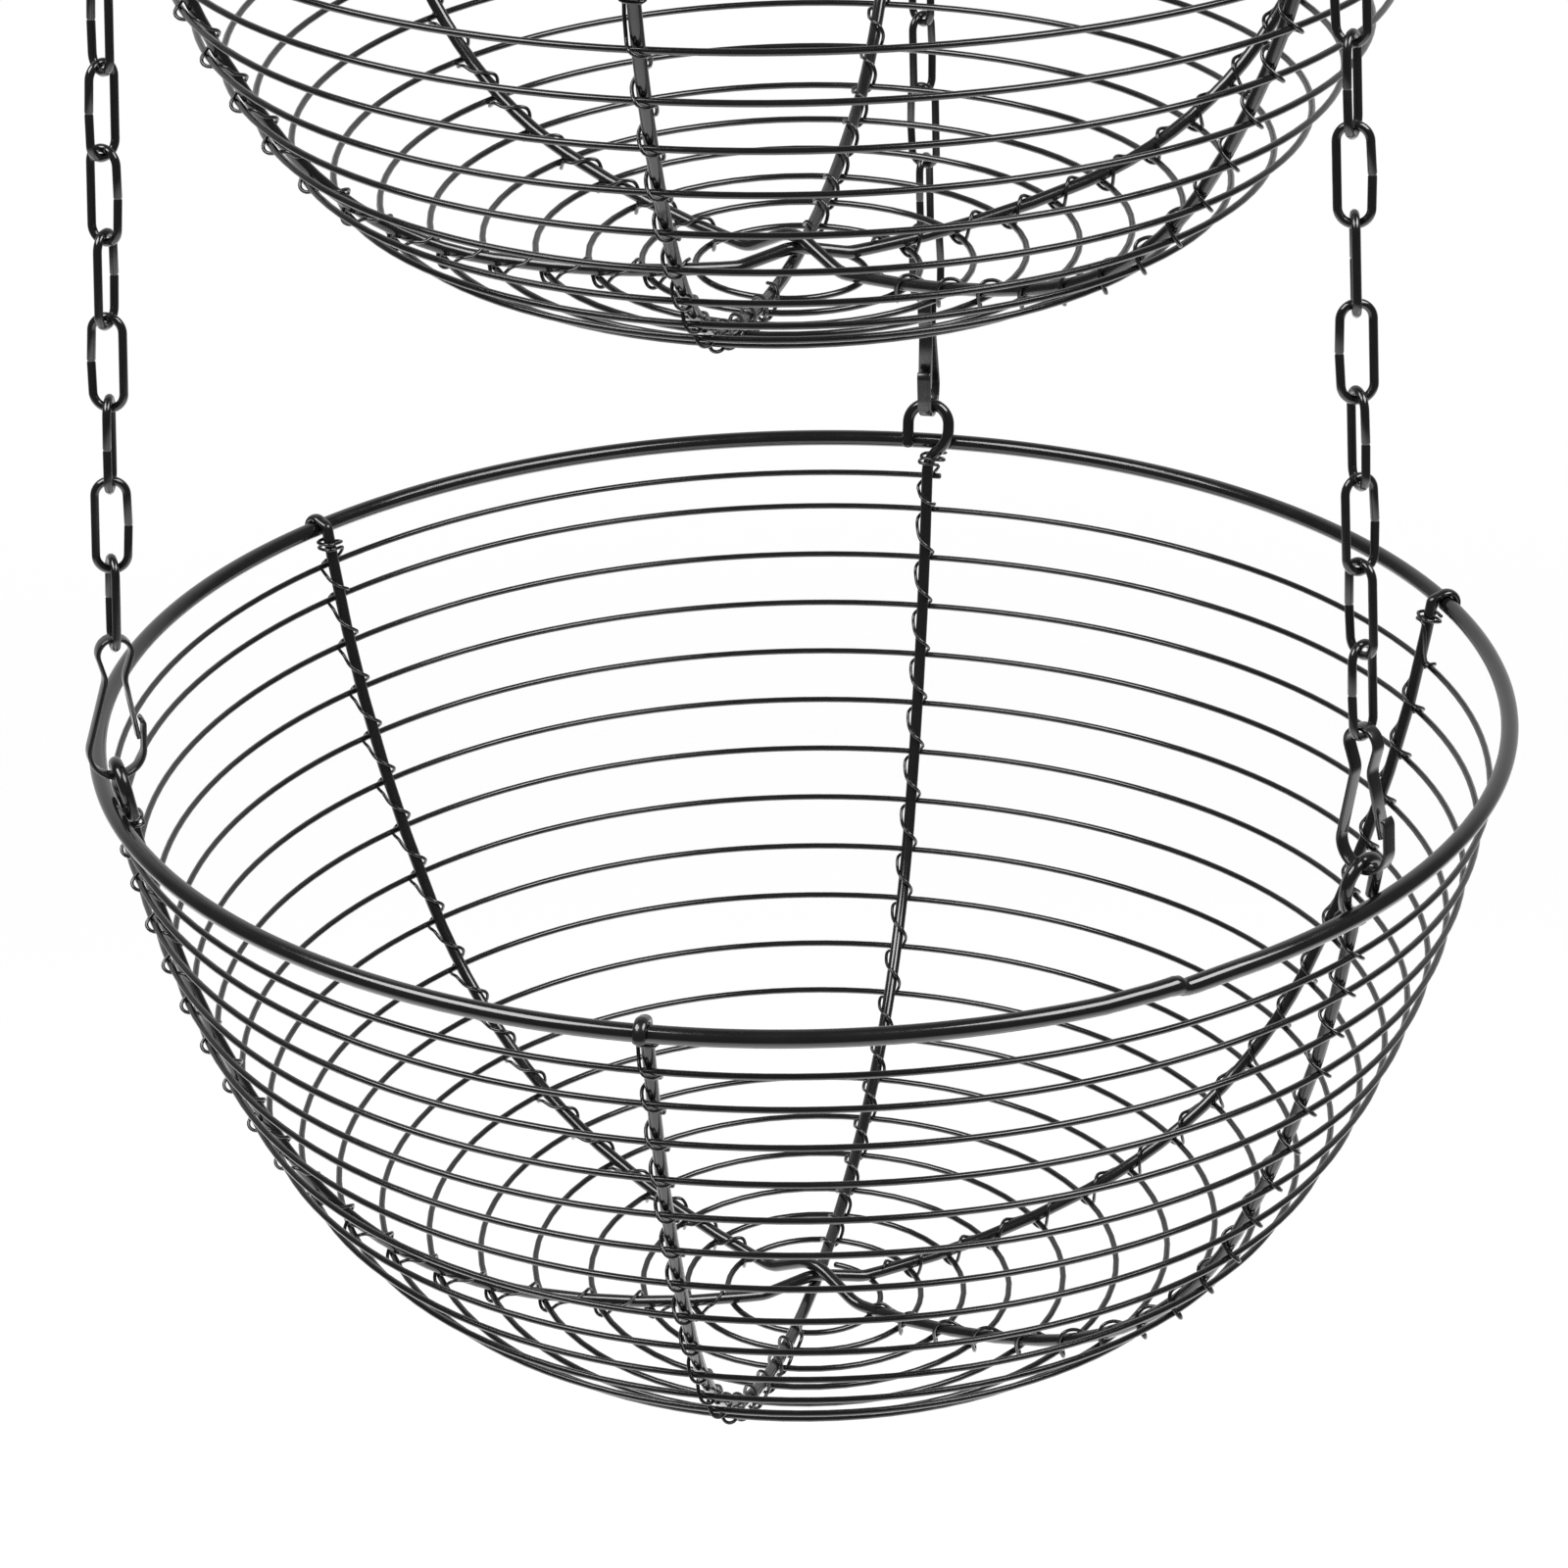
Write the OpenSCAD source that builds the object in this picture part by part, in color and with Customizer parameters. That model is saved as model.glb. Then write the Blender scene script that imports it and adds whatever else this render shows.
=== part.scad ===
// Two-tier hanging fruit basket made of black coated steel wire.
// Millimetres, +Z up. The origin is the bearing point inside the upper bend of the S-hook,
// and the two bowls hang below it on three chains each.
// A bowl has a rim ring, three U-shaped ribs that cross at the bottom, one spiral of thin wire
// round the outside of the ribs, and a fine binding wire down each of the six rib ends.

/* [Rims] */
// Outside diameter of the lower rim ring
lower_rim_od = 304; // [290:1:330]
// Outside diameter of the upper rim ring
upper_rim_od = 274; // [262:1:286]
// Wire diameter of both rim rings
rim_d = 3.7; // [3.2:0.1:4.2]

/* [Bowls] */
// Depth of the lower bowl, from the rim's centre to the ribs' centre at the bottom
lower_depth = 145; // [138:1:152]
// Depth of the upper bowl
upper_depth = 101; // [96:1:106]
// Lean of the bowl's side at the rim, from the vertical, lower bowl
lower_lean = 10; // [7:0.5:13]
// Lean at the rim, upper bowl
upper_lean = 13; // [10:0.5:16]
// Radius of the turn between side and bottom, lower bowl
lower_turn_radius = 98; // [92:1:104]
// Radius of the turn between side and bottom, upper bowl
upper_turn_radius = 75; // [70:1:80]

/* [Ribs] */
// Wire diameter of the ribs
rib_d = 2.7; // [2.4:0.1:2.9]
// Centre-line radius of the eye at the top of a rib
eye_radius = 4.85; // [4.7:0.05:5.2]
// Height of the eye's top centre-line above the rim's centre
eye_height = 10.2; // [9.6:0.1:11]
// Length of the straight run of each rib end below the rim
rib_top_run = 7.1; // [6.5:0.1:8]
// Angle that a plain rib end wraps over the rim ring
hook_wrap = 188; // [160:1:200]

/* [Spiral] */
// Wire diameter of the spiral
spiral_d = 1.4; // [1.2:0.1:1.6]
// Pitch of the lower spiral, measured down the bowl's side
lower_pitch = 11.8; // [11:0.1:12.6]
// Pitch of the upper spiral
upper_pitch = 11; // [10.4:0.1:11.8]
// Distance from the rim to the start of the lower spiral
lower_start = 8.5; // [8.2:0.1:10]
// Distance from the rim to the start of the upper spiral
upper_start = 8.2; // [8:0.1:10]
// Radius that the innermost turn keeps from the bowl's centre
core_radius = 10; // [9:0.5:14]

/* [Binding] */
// Wire diameter of the binding wire
binding_d = 0.65; // [0.55:0.05:0.75]
// Pitch of the tight turns just below the rim
wrap_pitch = 1.3; // [1.2:0.05:1.4]
// Radius from the bowl's centre at which each binding ends
binding_stop = 20; // [18:1:30]

/* [Chains] */
// Outside length of a chain link
link_length = 21.2; // [20:0.2:24]
// Outside width of a chain link
link_width = 8.25; // [8.05:0.05:9]
// Wire diameter of the links
link_d = 1.8; // [1.6:0.05:1.9]
// Links in each upper chain
upper_links = 14; // [11:1:18]
// Links in each lower chain
lower_links = 10; // [8:1:12]

/* [Clips] */
// Width of the clip's strip
strip_w = 3.2; // [2.8:0.1:3.4]
// Thickness of the clip's strip
strip_t = 0.9; // [0.7:0.05:1]
// Centre-line radius of the clip's wide end
bulb_radius = 5.72; // [5.6:0.02:6.2]
// Centre-line radius of the clip's narrow end
crown_radius = 3.48; // [3.4:0.02:3.7]
// Distance between the centres of the two ends
clip_span = 21.7; // [21:0.1:23.5]
// Centre-line radius of the two bends at the neck
neck_radius = 5; // [4.5:0.1:6]
// Slope of the strip above the neck
crown_slope = 17; // [15:0.5:18]
// Slope of the strip below the neck
bulb_slope = 14; // [13:0.5:15]
// Slope of the sprung gate
gate_slope = 11; // [10:0.5:11.5]
// Height of the gate's free end above the wide end's centre
gate_rise = 2.6; // [2.2:0.1:3]

/* [Top fittings] */
// Wire diameter of the S-hook
hook_d = 4; // [3.6:0.1:4.4]
// Centre-line radius of the S-hook's upper bend
hook_upper_radius = 10; // [8.5:0.1:12]
// Centre-line radius of the S-hook's lower bend
hook_lower_radius = 8; // [7:0.1:9]
// Angle of each bend of the S-hook
hook_wrap_angle = 240; // [225:1:250]
// Wire diameter of the connecting link
joiner_d = 3; // [2.8:0.1:3.2]
// Centre-line length of the connecting link
joiner_length = 24; // [22:0.2:28]
// Centre-line radius of the connecting link's ends
joiner_radius = 5.5; // [5:0.1:6.5]
// Wire diameter of the top ring
ring_d = 3.5; // [3.2:0.1:3.6]
// Centre-line radius of the top ring
ring_radius = 13; // [12.5:0.1:15]

/* [Fits] */
// Gap between a rib and its rim ring
rim_gap = 0.2; // [0.17:0.01:0.25]
// Gap between the spiral and the ribs
spiral_gap = 0.12; // [0.1:0.01:0.2]
// Gap where one hanging piece bears on another
bearing_gap = 0.1; // [0.08:0.01:0.12]
// Extra room between the two lowest links of a chain, where the sway is taken up
sway_room = 0.45; // [0.4:0.05:0.6]

/* [Hidden] */

black_coat = [0.06, 0.06, 0.065];
black_clip = [0.1, 0.1, 0.105];

// Azimuth of the back eye, and the angle between neighbouring eyes
eye_azimuth = 77.6;
eye_step = 120;
// Angle between neighbouring rib ends of one bowl
end_step = 60;
// Angle from the vertical at which the side's curve meets the turn, and the turn the bottom's curve
lower_bends = [27.5, 69.3];
upper_bends = [34, 74];
// Places of the three upper chains round the top ring
ring_places = [-90, -116, -64];
// Side on which each clip's gate faces: 1 towards the basket, -1 away from it
gate_sides = [1, 1, -1];
// Angle from straight down, away from the basket, at which a lower chain's top link lies in its clip
side_seat = 45;
// Radius at which a raised rib meets the bowl's curve, its bends, and its slope for each millimetre
hump_reach = 16;
hump_radius = 8;
hump_slope = 4.8;
// Short straight run between two bends of a wire
joint_run = 0.3;
// How much a straight run stands proud of the bends, and how far it laps over each
run_extra = 0.02;
run_lap = 0.15;
// Angle through which a rib's end swings sideways and back below its eye
eye_swing = 48;
// Straight end of the spiral past the first rib
spiral_tail = 3;
// Angle of each flat where a clip's strip bends
strip_facet = 5;
// Fineness of the wire's section and of its bends
wire_fn = 24;
bend_fn = 96;

X = [1, 0, 0];
Y = [0, 1, 0];
Z = [0, 0, 1];

function unit(v) = v / norm(v);
function radial(a) = [cos(a), sin(a), 0];
function tangential(a) = [-sin(a), cos(a), 0];
function arc_length(radius, angle) = radius * angle * PI / 180;
function arc_angle(radius, length) = length / radius * 180 / PI;

// Bowl profile

rim_to_rib = (rim_d + rib_d) / 2 + rim_gap;
rib_to_spiral = (rib_d + spiral_d) / 2 + spiral_gap;

// A bowl is [rim radius, depth, lean, second angle, third angle, turn radius, pitch, spiral start]
lower_bowl = [(lower_rim_od - rim_d) / 2, lower_depth, lower_lean, lower_bends[0], lower_bends[1],
              lower_turn_radius, lower_pitch, lower_start];
upper_bowl = [(upper_rim_od - rim_d) / 2, upper_depth, upper_lean, upper_bends[0], upper_bends[1],
              upper_turn_radius, upper_pitch, upper_start];

function rim_radius(b) = b[0];
function lean(b) = b[2];

// Where a rib passes the rim ring, as [radius, height above the rim's centre]
function pass_radius(b) = rim_radius(b) - rim_to_rib * cos(lean(b));
function pass_height(b) = rim_to_rib * sin(lean(b));

// Radii of the side's curve and the bottom's curve, so that the three arcs run into each other, with
// a short straight run between neighbouring arcs and at the bottom's centre
function curve_radii(b) =
  let (
    reach = pass_radius(b) - rib_top_run * sin(b[2]) - b[5] * (cos(b[3]) - cos(b[4]))
      - joint_run * (sin(b[3]) + sin(b[4]) + 1),
    drop = b[1] + pass_height(b) - rib_top_run * cos(b[2]) - b[5] * (sin(b[4]) - sin(b[3]))
      - joint_run * (cos(b[3]) + cos(b[4])),
    side_reach = cos(b[2]) - cos(b[3]),
    side_drop = sin(b[3]) - sin(b[2]),
    base_reach = cos(b[4]),
    base_drop = 1 - sin(b[4]),
    det = side_reach * base_drop - base_reach * side_drop
  )
  [(reach * base_drop - base_reach * drop) / det, (side_reach * drop - side_drop * reach) / det];

// Distances down the rib at which each curve ends
function side_end(b) = rib_top_run + arc_length(curve_radii(b)[0], b[3] - b[2]);
function turn_end(b) = side_end(b) + joint_run + arc_length(b[5], b[4] - b[3]);
function base_end(b) = turn_end(b) + joint_run + arc_length(curve_radii(b)[1], 90 - b[4]);

// Points on a rib's centre-line, as [radius, height, angle from vertical], moved on down the bowl
function arc_point(from, radius, angle) =
  let (turned = from[2] + angle)
  [from[0] - radius * (cos(from[2]) - cos(turned)), from[1] - radius * (sin(turned) - sin(from[2])),
   turned];
function run_point(from, length) =
  [from[0] - length * sin(from[2]), from[1] - length * cos(from[2]), from[2]];

// Point on a rib's centre-line at distance s below the rim
function profile(b, s) =
  let (
    radii = curve_radii(b),
    pass = [pass_radius(b), pass_height(b), lean(b)],
    side = run_point(pass, rib_top_run),
    turn = run_point(arc_point(side, radii[0], b[3] - b[2]), joint_run),
    base = run_point(arc_point(turn, b[5], b[4] - b[3]), joint_run)
  )
  s < rib_top_run ? run_point(pass, s)
  : s < side_end(b) ? arc_point(side, radii[0], arc_angle(radii[0], s - rib_top_run))
  : s < side_end(b) + joint_run ? run_point(turn, s - side_end(b) - joint_run)
  : s < turn_end(b) ? arc_point(turn, b[5], arc_angle(b[5], s - side_end(b) - joint_run))
  : s < turn_end(b) + joint_run ? run_point(base, s - turn_end(b) - joint_run)
  : arc_point(base, radii[1], arc_angle(radii[1], s - turn_end(b) - joint_run));

// Spiral, in half turns that each are half of a plain ring, with short straight runs between them

function half_turns(b) =
  let (last = base_end(b) - core_radius)
  floor((last - b[7]) / (b[6] / 2));
function spiral_distance(b, i) = b[7] + i * b[6] / 2;
function spiral_point(b, i) =
  let (p = profile(b, spiral_distance(b, i)))
  [p[0] + rib_to_spiral * cos(p[2]), p[1] - rib_to_spiral * sin(p[2])];

// Eye at the top of a rib, above the point where the rib passes the rim

function eye_centre_rise(b) = (eye_height - pass_height(b)) / cos(lean(b)) - eye_radius;
eye_swing_radius = (eye_radius - joint_run * sin(eye_swing)) / (2 * (1 - cos(eye_swing)));
function eye_lead(b) = eye_centre_rise(b) + rib_top_run - joint_run * (1 + cos(eye_swing))
  - 2 * eye_swing_radius * sin(eye_swing);
function eye_leg(b) = eye_centre_rise(b) + (pass_height(b) + eye_leg_drop) / cos(lean(b));
eye_leg_drop = 0.5;
// Top of the eye's centre-line in the bowl's frame, as [radius, height]
function eye_top(b) = [pass_radius(b) + (eye_height - pass_height(b)) * tan(lean(b)), eye_height];

// Chain links and clips

link_end_radius = (link_width - link_d) / 2;
link_span = link_length - link_d;
link_cross = link_d + bearing_gap;
link_pitch = link_span - link_cross;

// How far a strip's edges keep a curved wire from the middle of the strip
function strip_sag(inner_radius) = inner_radius - sqrt(pow(inner_radius, 2) - pow(strip_w / 2, 2));
bulb_inner = bulb_radius - strip_t / 2;
crown_inner = crown_radius - strip_t / 2;
link_seat = link_d / 2 + strip_sag(link_end_radius - link_d / 2) + bearing_gap;
eye_seat = rib_d / 2 + strip_sag(eye_radius - rib_d / 2) + bearing_gap;
// Distances from the clip's wide centre to the eye, to the chain's end and to a side link
eye_offset = bulb_inner - eye_seat;
chain_offset = clip_span + crown_inner - link_seat;
side_offset = bulb_inner - link_seat;

// Straight runs of the clip's strip above and below the neck
clip_runs =
  let (
    crown_x = -crown_radius * cos(crown_slope),
    crown_z = clip_span - crown_radius * sin(crown_slope),
    bulb_x = -bulb_radius * cos(bulb_slope),
    bulb_z = bulb_radius * sin(bulb_slope),
    across = bulb_x - crown_x - neck_radius * (cos(bulb_slope) - cos(crown_slope)),
    down = crown_z - bulb_z - neck_radius * (sin(crown_slope) + sin(bulb_slope)),
    det = sin(crown_slope + bulb_slope)
  )
  [(across * cos(bulb_slope) + down * sin(bulb_slope)) / det,
   (down * sin(crown_slope) - across * cos(crown_slope)) / det];

// Length of the gate, from the neck down to its free end
gate_start_height = clip_span - crown_radius * sin(crown_slope) - clip_runs[0] * cos(crown_slope)
  - neck_radius * (sin(crown_slope) + sin(gate_slope));
gate_run = (gate_start_height - gate_rise) / cos(gate_slope);
// Small hook of the wide end that holds the gate: upright run, bend and tip
latch_run = 5.3;
latch_bend_radius = 1.6;
latch_bend = 45;
latch_tip = 0.35;
// Pad inside the gate's free end, as [height, length, width], and how far it stays from that end
gate_pad = [0.3, 1.8, strip_w - 0.6];
gate_pad_inset = 0.15;

// Upper chains: the top ring's centre, and the upper bowl's place below it

hook_bottom = hook_d / 2 - 2 * hook_upper_radius - 2 * hook_lower_radius;
joiner_top = hook_bottom + (hook_d + joiner_d) / 2 + bearing_gap;
joiner_bottom = joiner_top - joiner_length;
ring_centre = [0, 0, joiner_bottom + (joiner_d + ring_d) / 2 + bearing_gap - ring_radius];

function eye_angle(k) = eye_azimuth + eye_step * k;
function ring_anchor(k) = ring_radius * [cos(ring_places[k]), 0, sin(ring_places[k])];
function upper_seat(k) =
  let (e = eye_top(upper_bowl))
  radial(eye_angle(k)) * e[0] + Z * (e[1] + eye_offset);

upper_reach = chain_offset + (upper_links - 1) * link_pitch + link_span
  - (ring_d + link_d) / 2 - bearing_gap;

// Point at equal distance from three points, on the upper side
function above_three(p, q, r, reach) =
  let (
    a = p - r,
    b = q - r,
    n = cross(a, b),
    mid = cross((a * a) * b - (b * b) * a, n) / (2 * (n * n)),
    rise = sqrt(reach * reach - mid * mid)
  )
  r + mid + unit(n) * rise * sign(n[2]);

ring_above_rim = above_three(upper_seat(0) - ring_anchor(0), upper_seat(1) - ring_anchor(1),
                             upper_seat(2) - ring_anchor(2), upper_reach);
upper_centre = ring_centre - ring_above_rim;

function upper_clip_place(k) = upper_centre + upper_seat(k);
function upper_axis(k) = unit(ring_centre + ring_anchor(k) - upper_clip_place(k));

// Lower chains: the top link leans over the rim, and the rest hangs straight to the lower eye

function top_link_apex(k) =
  upper_clip_place(k) + side_offset * (sin(side_seat) * radial(eye_angle(k)) - cos(side_seat) * Z);
top_link_lean =
  let (
    out = eye_top(upper_bowl)[0] + side_offset * sin(side_seat) - rim_radius(upper_bowl),
    up = eye_height + eye_offset - side_offset * cos(side_seat),
    clear = (rim_d + link_d) / 2 + bearing_gap
  )
  asin(clear / norm([out, up])) - atan(out / up);
function top_link_axis(k) = cos(top_link_lean) * Z - sin(top_link_lean) * radial(eye_angle(k));
function top_link_foot(k) = top_link_apex(k) - link_span * top_link_axis(k);

// Distance up a lower chain from the lowest link's foot to the foot of link i, counted from 1
function lower_link_foot(i) = (i - 1) * link_pitch - (i > 1 ? sway_room : 0);
lower_reach = eye_offset + chain_offset + lower_link_foot(lower_links - 1) + link_span - link_cross;
upper_pivot_radius = norm([for (i = [0:1]) top_link_foot(0)[i] - upper_centre[i]]);
lower_drop =
  let (across = eye_top(lower_bowl)[0] - upper_pivot_radius)
  sqrt(pow(lower_reach, 2) - pow(across, 2));
lower_centre = [upper_centre[0], upper_centre[1], top_link_foot(0)[2] - lower_drop - eye_height];

function lower_eye(k) = lower_centre + eye_top(lower_bowl)[0] * radial(eye_angle(k)) + eye_height * Z;
function lower_axis(k) = unit(top_link_foot(k) - lower_eye(k));
function lower_clip_place(k) = lower_eye(k) + eye_offset * lower_axis(k);
// Point on a lower chain's line, measured up from its lowest link's foot
function lower_chain_point(k, d) = lower_clip_place(k) + (chain_offset + d) * lower_axis(k);

// Bent wire and strip

module wire(d) {
  circle(d = d, $fn = wire_fn);
}

// Moves by whole millimetres and then by the rest, so that a long move keeps its small digits
module shift(v) {
  whole = [for (c = v) floor(c)];
  translate(whole) translate(v - whole) children();
}

// Straight run of wire along +Z. It is a hair thicker than the bends and laps over their ends, so that
// the wire is one piece.
module run(d, length) {
  translate([0, 0, -run_lap])
    cylinder(d = d + 2 * run_extra, h = length + 2 * run_lap, $fn = wire_fn);
}

// Wire of diameter d along a path that leaves the origin towards +Z. Each step is [roll, bend radius,
// angle] or, with a bend radius of 0, [roll, 0, length]. A run stands between any two bends.
module bent(steps, d, i = 0) {
  if (i < len(steps)) {
    radius = steps[i][1];
    amount = steps[i][2];
    rotate([0, 0, steps[i][0]])
      if (radius == 0) {
        run(d, amount);
        shift([0, 0, amount]) bent(steps, d, i + 1);
      } else {
        shift([radius, 0, 0]) rotate([90, 0, 0]) rotate([0, 0, 180 - amount])
          rotate_extrude(angle = amount, $fn = bend_fn) shift([radius, 0]) wire(d);
        shift([radius * (1 - cos(amount)), 0, radius * sin(amount)]) rotate([0, amount, 0])
          bent(steps, d, i + 1);
      }
  }
}

// Puts the children in a frame with the given origin and axes
module place(o, x, y, z) {
  multmatrix([
    [x[0], y[0], z[0], o[0]],
    [x[1], y[1], z[1], o[1]],
    [x[2], y[2], z[2], o[2]],
    [0, 0, 0, 1]
  ])
    children();
}

// Top fittings

module s_hook() {
  color(black_coat)
    place([0, 0, hook_d / 2 - 2 * hook_upper_radius], Z, -Y, X) {
      bent([[0, hook_upper_radius, hook_wrap_angle]], hook_d);
      rotate([0, 180, 0]) bent([[0, 0, joint_run], [0, hook_lower_radius, hook_wrap_angle]], hook_d);
    }
}

// Closed oval of wire in the XZ plane, its lower end's centre-line at the origin
module oval(span, end_radius, d) {
  run = span - 2 * end_radius;
  translate([-end_radius, 0, end_radius])
    bent([[0, 0, run], [0, end_radius, 180], [0, 0, run], [0, end_radius, 180]], d);
}

module connecting_link() {
  color(black_coat)
    place([0, 0, joiner_bottom], Y, -X, Z) oval(joiner_length, joiner_radius, joiner_d);
}

module ring(radius, d) {
  rotate_extrude($fn = bend_fn) translate([radius, 0]) wire(d);
}

module top_ring() {
  color(black_coat)
    translate(ring_centre) rotate([90, 0, 0]) ring(ring_radius, ring_d);
}

// Chains

// One link whose foot is at o, along z, with its sides towards x turned about z by turn
module link(o, x, z, turn) {
  place(o, x, cross(z, x), z) rotate([0, 0, turn]) oval(link_span, link_end_radius, link_d);
}

module upper_chain(k) {
  z = upper_axis(k);
  x = clip_width_axis(k);
  start = upper_clip_place(k) + chain_offset * z;
  hang = unit(cross([-sin(ring_places[k]), 0, cos(ring_places[k])], z));
  full = atan2(cross(x, hang) * z, x * hang);
  crossings = upper_links - 1;
  spare = (((full - 90 * crossings) % 180) + 270) % 180 - 90;
  color(black_coat)
    for (i = [0:crossings])
      link(start + i * link_pitch * z, x, z, i * (90 + spare / crossings));
}

// Turn from one lower link to the next, so that both ends of the chain lie square to their clips
lower_turn = -90 - (lower_links % 2 == 0 ? 90 / (lower_links - 1) : 0);

// Lower link number i, counted up from the lowest as 1
module lower_link(k, i) {
  link(lower_chain_point(k, lower_link_foot(i)), tangential(eye_angle(k)), lower_axis(k),
       (i - 1) * lower_turn);
}

module top_link(k) {
  color(black_coat)
    link(top_link_foot(k), tangential(eye_angle(k)), top_link_axis(k), 0);
}

module pivot_link(k) {
  color(black_coat) lower_link(k, lower_links - 1);
}

module lower_chain(k) {
  color(black_coat)
    for (i = [3:lower_links - 2])
      lower_link(k, i);
}

module swivel_link(k) {
  color(black_coat) lower_link(k, 2);
}

module end_link(k) {
  color(black_coat) lower_link(k, 1);
}

// Clips

// Points along a strip's centre-line in the XZ plane, each [x, z, heading], the heading turning from +X
// to +Z. A step is [bend radius, angle], the angle negative to the right, or [0, length].
function strip_trace(at, steps, i = 0) =
  i == len(steps) ? []
  : let (
      radius = steps[i][0],
      amount = steps[i][1],
      side = sign(amount),
      count = radius == 0 ? 1 : ceil(abs(amount) / strip_facet),
      part = [for (j = [1:count])
        let (turned = at[2] + amount * j / count)
        radius == 0 ? [at[0] + amount * cos(at[2]), at[1] + amount * sin(at[2]), at[2]]
        : [at[0] + side * radius * (sin(turned) - sin(at[2])),
           at[1] - side * radius * (cos(turned) - cos(at[2])), turned]]
    )
    concat(part, strip_trace(part[count - 1], steps, i + 1));

// The strip's outline, half its thickness on each side of its centre-line
function strip_side(trace, offset) =
  [for (p = trace) [p[0] - offset * sin(p[2]), p[1] + offset * cos(p[2])]];
function strip_outline(start, steps) =
  let (
    trace = concat([start], strip_trace(start, steps)),
    near = strip_side(trace, strip_t / 2),
    far = strip_side(trace, -strip_t / 2)
  )
  concat(near, [for (i = [1:len(far)]) far[len(far) - i]]);

latch_steps = [[0, latch_tip], [latch_bend_radius, -latch_bend], [0, latch_run]];
latch_trace = strip_trace([bulb_radius, 0, 90],
                          [[0, latch_run], [latch_bend_radius, latch_bend], [0, latch_tip]]);
clip_steps = [
  [bulb_radius, -180 - bulb_slope],
  [0, clip_runs[1]],
  [neck_radius, crown_slope + bulb_slope],
  [0, clip_runs[0]],
  [crown_radius, -180 - 2 * crown_slope],
  [0, clip_runs[0]],
  [neck_radius, crown_slope + gate_slope],
  [0, gate_run]
];

// Strip clip with the wide end's centre at the origin, the narrow end up and the gate towards +X
module clip() {
  latch_end = latch_trace[len(latch_trace) - 1];
  start = latch_end - [0, 0, 180];
  gate = strip_trace([bulb_radius, 0, -90], clip_steps);
  gate_end = gate[len(gate) - 1];
  rotate([90, 0, 0]) {
    linear_extrude(strip_w, center = true) polygon(strip_outline(start, concat(latch_steps, clip_steps)));
    translate([gate_end[0], gate_end[1], -gate_pad[2] / 2]) rotate([0, 0, gate_end[2] - 180])
      translate([gate_pad_inset, 0, 0]) cube([gate_pad[1], strip_t / 2 + gate_pad[0], gate_pad[2]]);
  }
}

function clip_width_axis(k) = unit(cross(upper_axis(k), radial(eye_angle(k))));

module upper_clip(k) {
  y = clip_width_axis(k);
  z = upper_axis(k);
  color(black_clip)
    place(upper_clip_place(k), cross(y, z), y, z) rotate([0, 0, gate_sides[k] > 0 ? 180 : 0]) clip();
}

module lower_clip(k) {
  y = tangential(eye_angle(k));
  z = lower_axis(k);
  color(black_clip)
    place(lower_clip_place(k), cross(y, z), y, z) rotate([0, 0, gate_sides[k] > 0 ? 180 : 0]) clip();
}

// Bowls

module rim(b) {
  ring(rim_radius(b), rim_d);
}

// Steps of a rib from the bottom's centre to the bottom's curve. A raised rib starts level, slopes down
// and bends up again into the curve.
function base_steps(b, rise) =
  let (
    radius = curve_radii(b)[1],
    meet = asin(hump_reach / radius),
    fall = hump_slope * rise,
    across = hump_reach - hump_radius * (2 * sin(fall) + sin(meet)),
    down = radius * (1 - cos(meet)) - rise + hump_radius * (1 + cos(meet) - 2 * cos(fall)),
    det = sin(fall + meet)
  )
  rise == 0 ? [[0, radius, 90 - b[4]]]
  : [
    [180, hump_radius, fall],
    [0, 0, (across * sin(meet) - down * cos(meet)) / det],
    [180, hump_radius, fall + meet],
    [0, 0, (across * sin(fall) + down * cos(fall)) / det],
    [0, radius, 90 - b[4] - meet]
  ];

function side_steps(b) = [
  [0, 0, joint_run],
  [0, b[5], b[4] - b[3]],
  [0, 0, joint_run],
  [0, curve_radii(b)[0], b[3] - b[2]]
];

function eye_steps(b) = [
  [0, 0, joint_run],
  [90, eye_swing_radius, eye_swing],
  [0, 0, joint_run],
  [180, eye_swing_radius, eye_swing],
  [0, 0, eye_lead(b)],
  [0, eye_radius, 180],
  [0, 0, eye_leg(b)]
];

function plain_steps(b) = [[0, 0, rib_top_run], [180, rim_to_rib, hook_wrap]];

// One rib of bowl b: the eye end towards the given angle, the plain end opposite
module rib(b, angle, rise) {
  height = rise - b[1];
  rotate([0, 0, angle]) translate([-joint_run, 0, height]) rotate([0, 90, 0]) run(rib_d, 2 * joint_run);
  for (side = [0, 1])
    rotate([0, 0, angle + 180 * side])
      place([joint_run, 0, height], Z, -Y, X)
        bent(concat(base_steps(b, rise), side_steps(b), side == 0 ? eye_steps(b) : plain_steps(b)), rib_d);
}

rib_rise = rib_d + bearing_gap;

module spiral(b) {
  for (i = [0:half_turns(b)]) {
    from = spiral_point(b, i);
    rotate([0, 0, 180 * (i % 2)]) {
      shift([from[0], joint_run / 2, from[1]]) rotate([90, 0, 0])
        run(spiral_d, i == 0 ? spiral_tail : joint_run);
      if (i < half_turns(b))
        shift([0, joint_run / 2, 0]) half_ring(from, spiral_point(b, i + 1));
    }
  }
}

// Half turn of the spiral, from the first [radius, height] over +Y to the second on the other side
module half_ring(from, to) {
  width = from[0] + to[0];
  fall = from[1] - to[1];
  shift([(from[0] - to[0]) / 2, 0, (from[1] + to[1]) / 2]) rotate([0, -atan(fall / width), 0])
    rotate_extrude(angle = 180, $fn = bend_fn) shift([norm([width, fall]) / 2, 0]) wire(spiral_d);
}

// Binding wire, worked out in a rib end's own frame: s down the rib, t to the left seen from the
// bowl's centre, n out of the bowl. One turn per ring: over the ring outside, back behind the rib.

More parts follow.
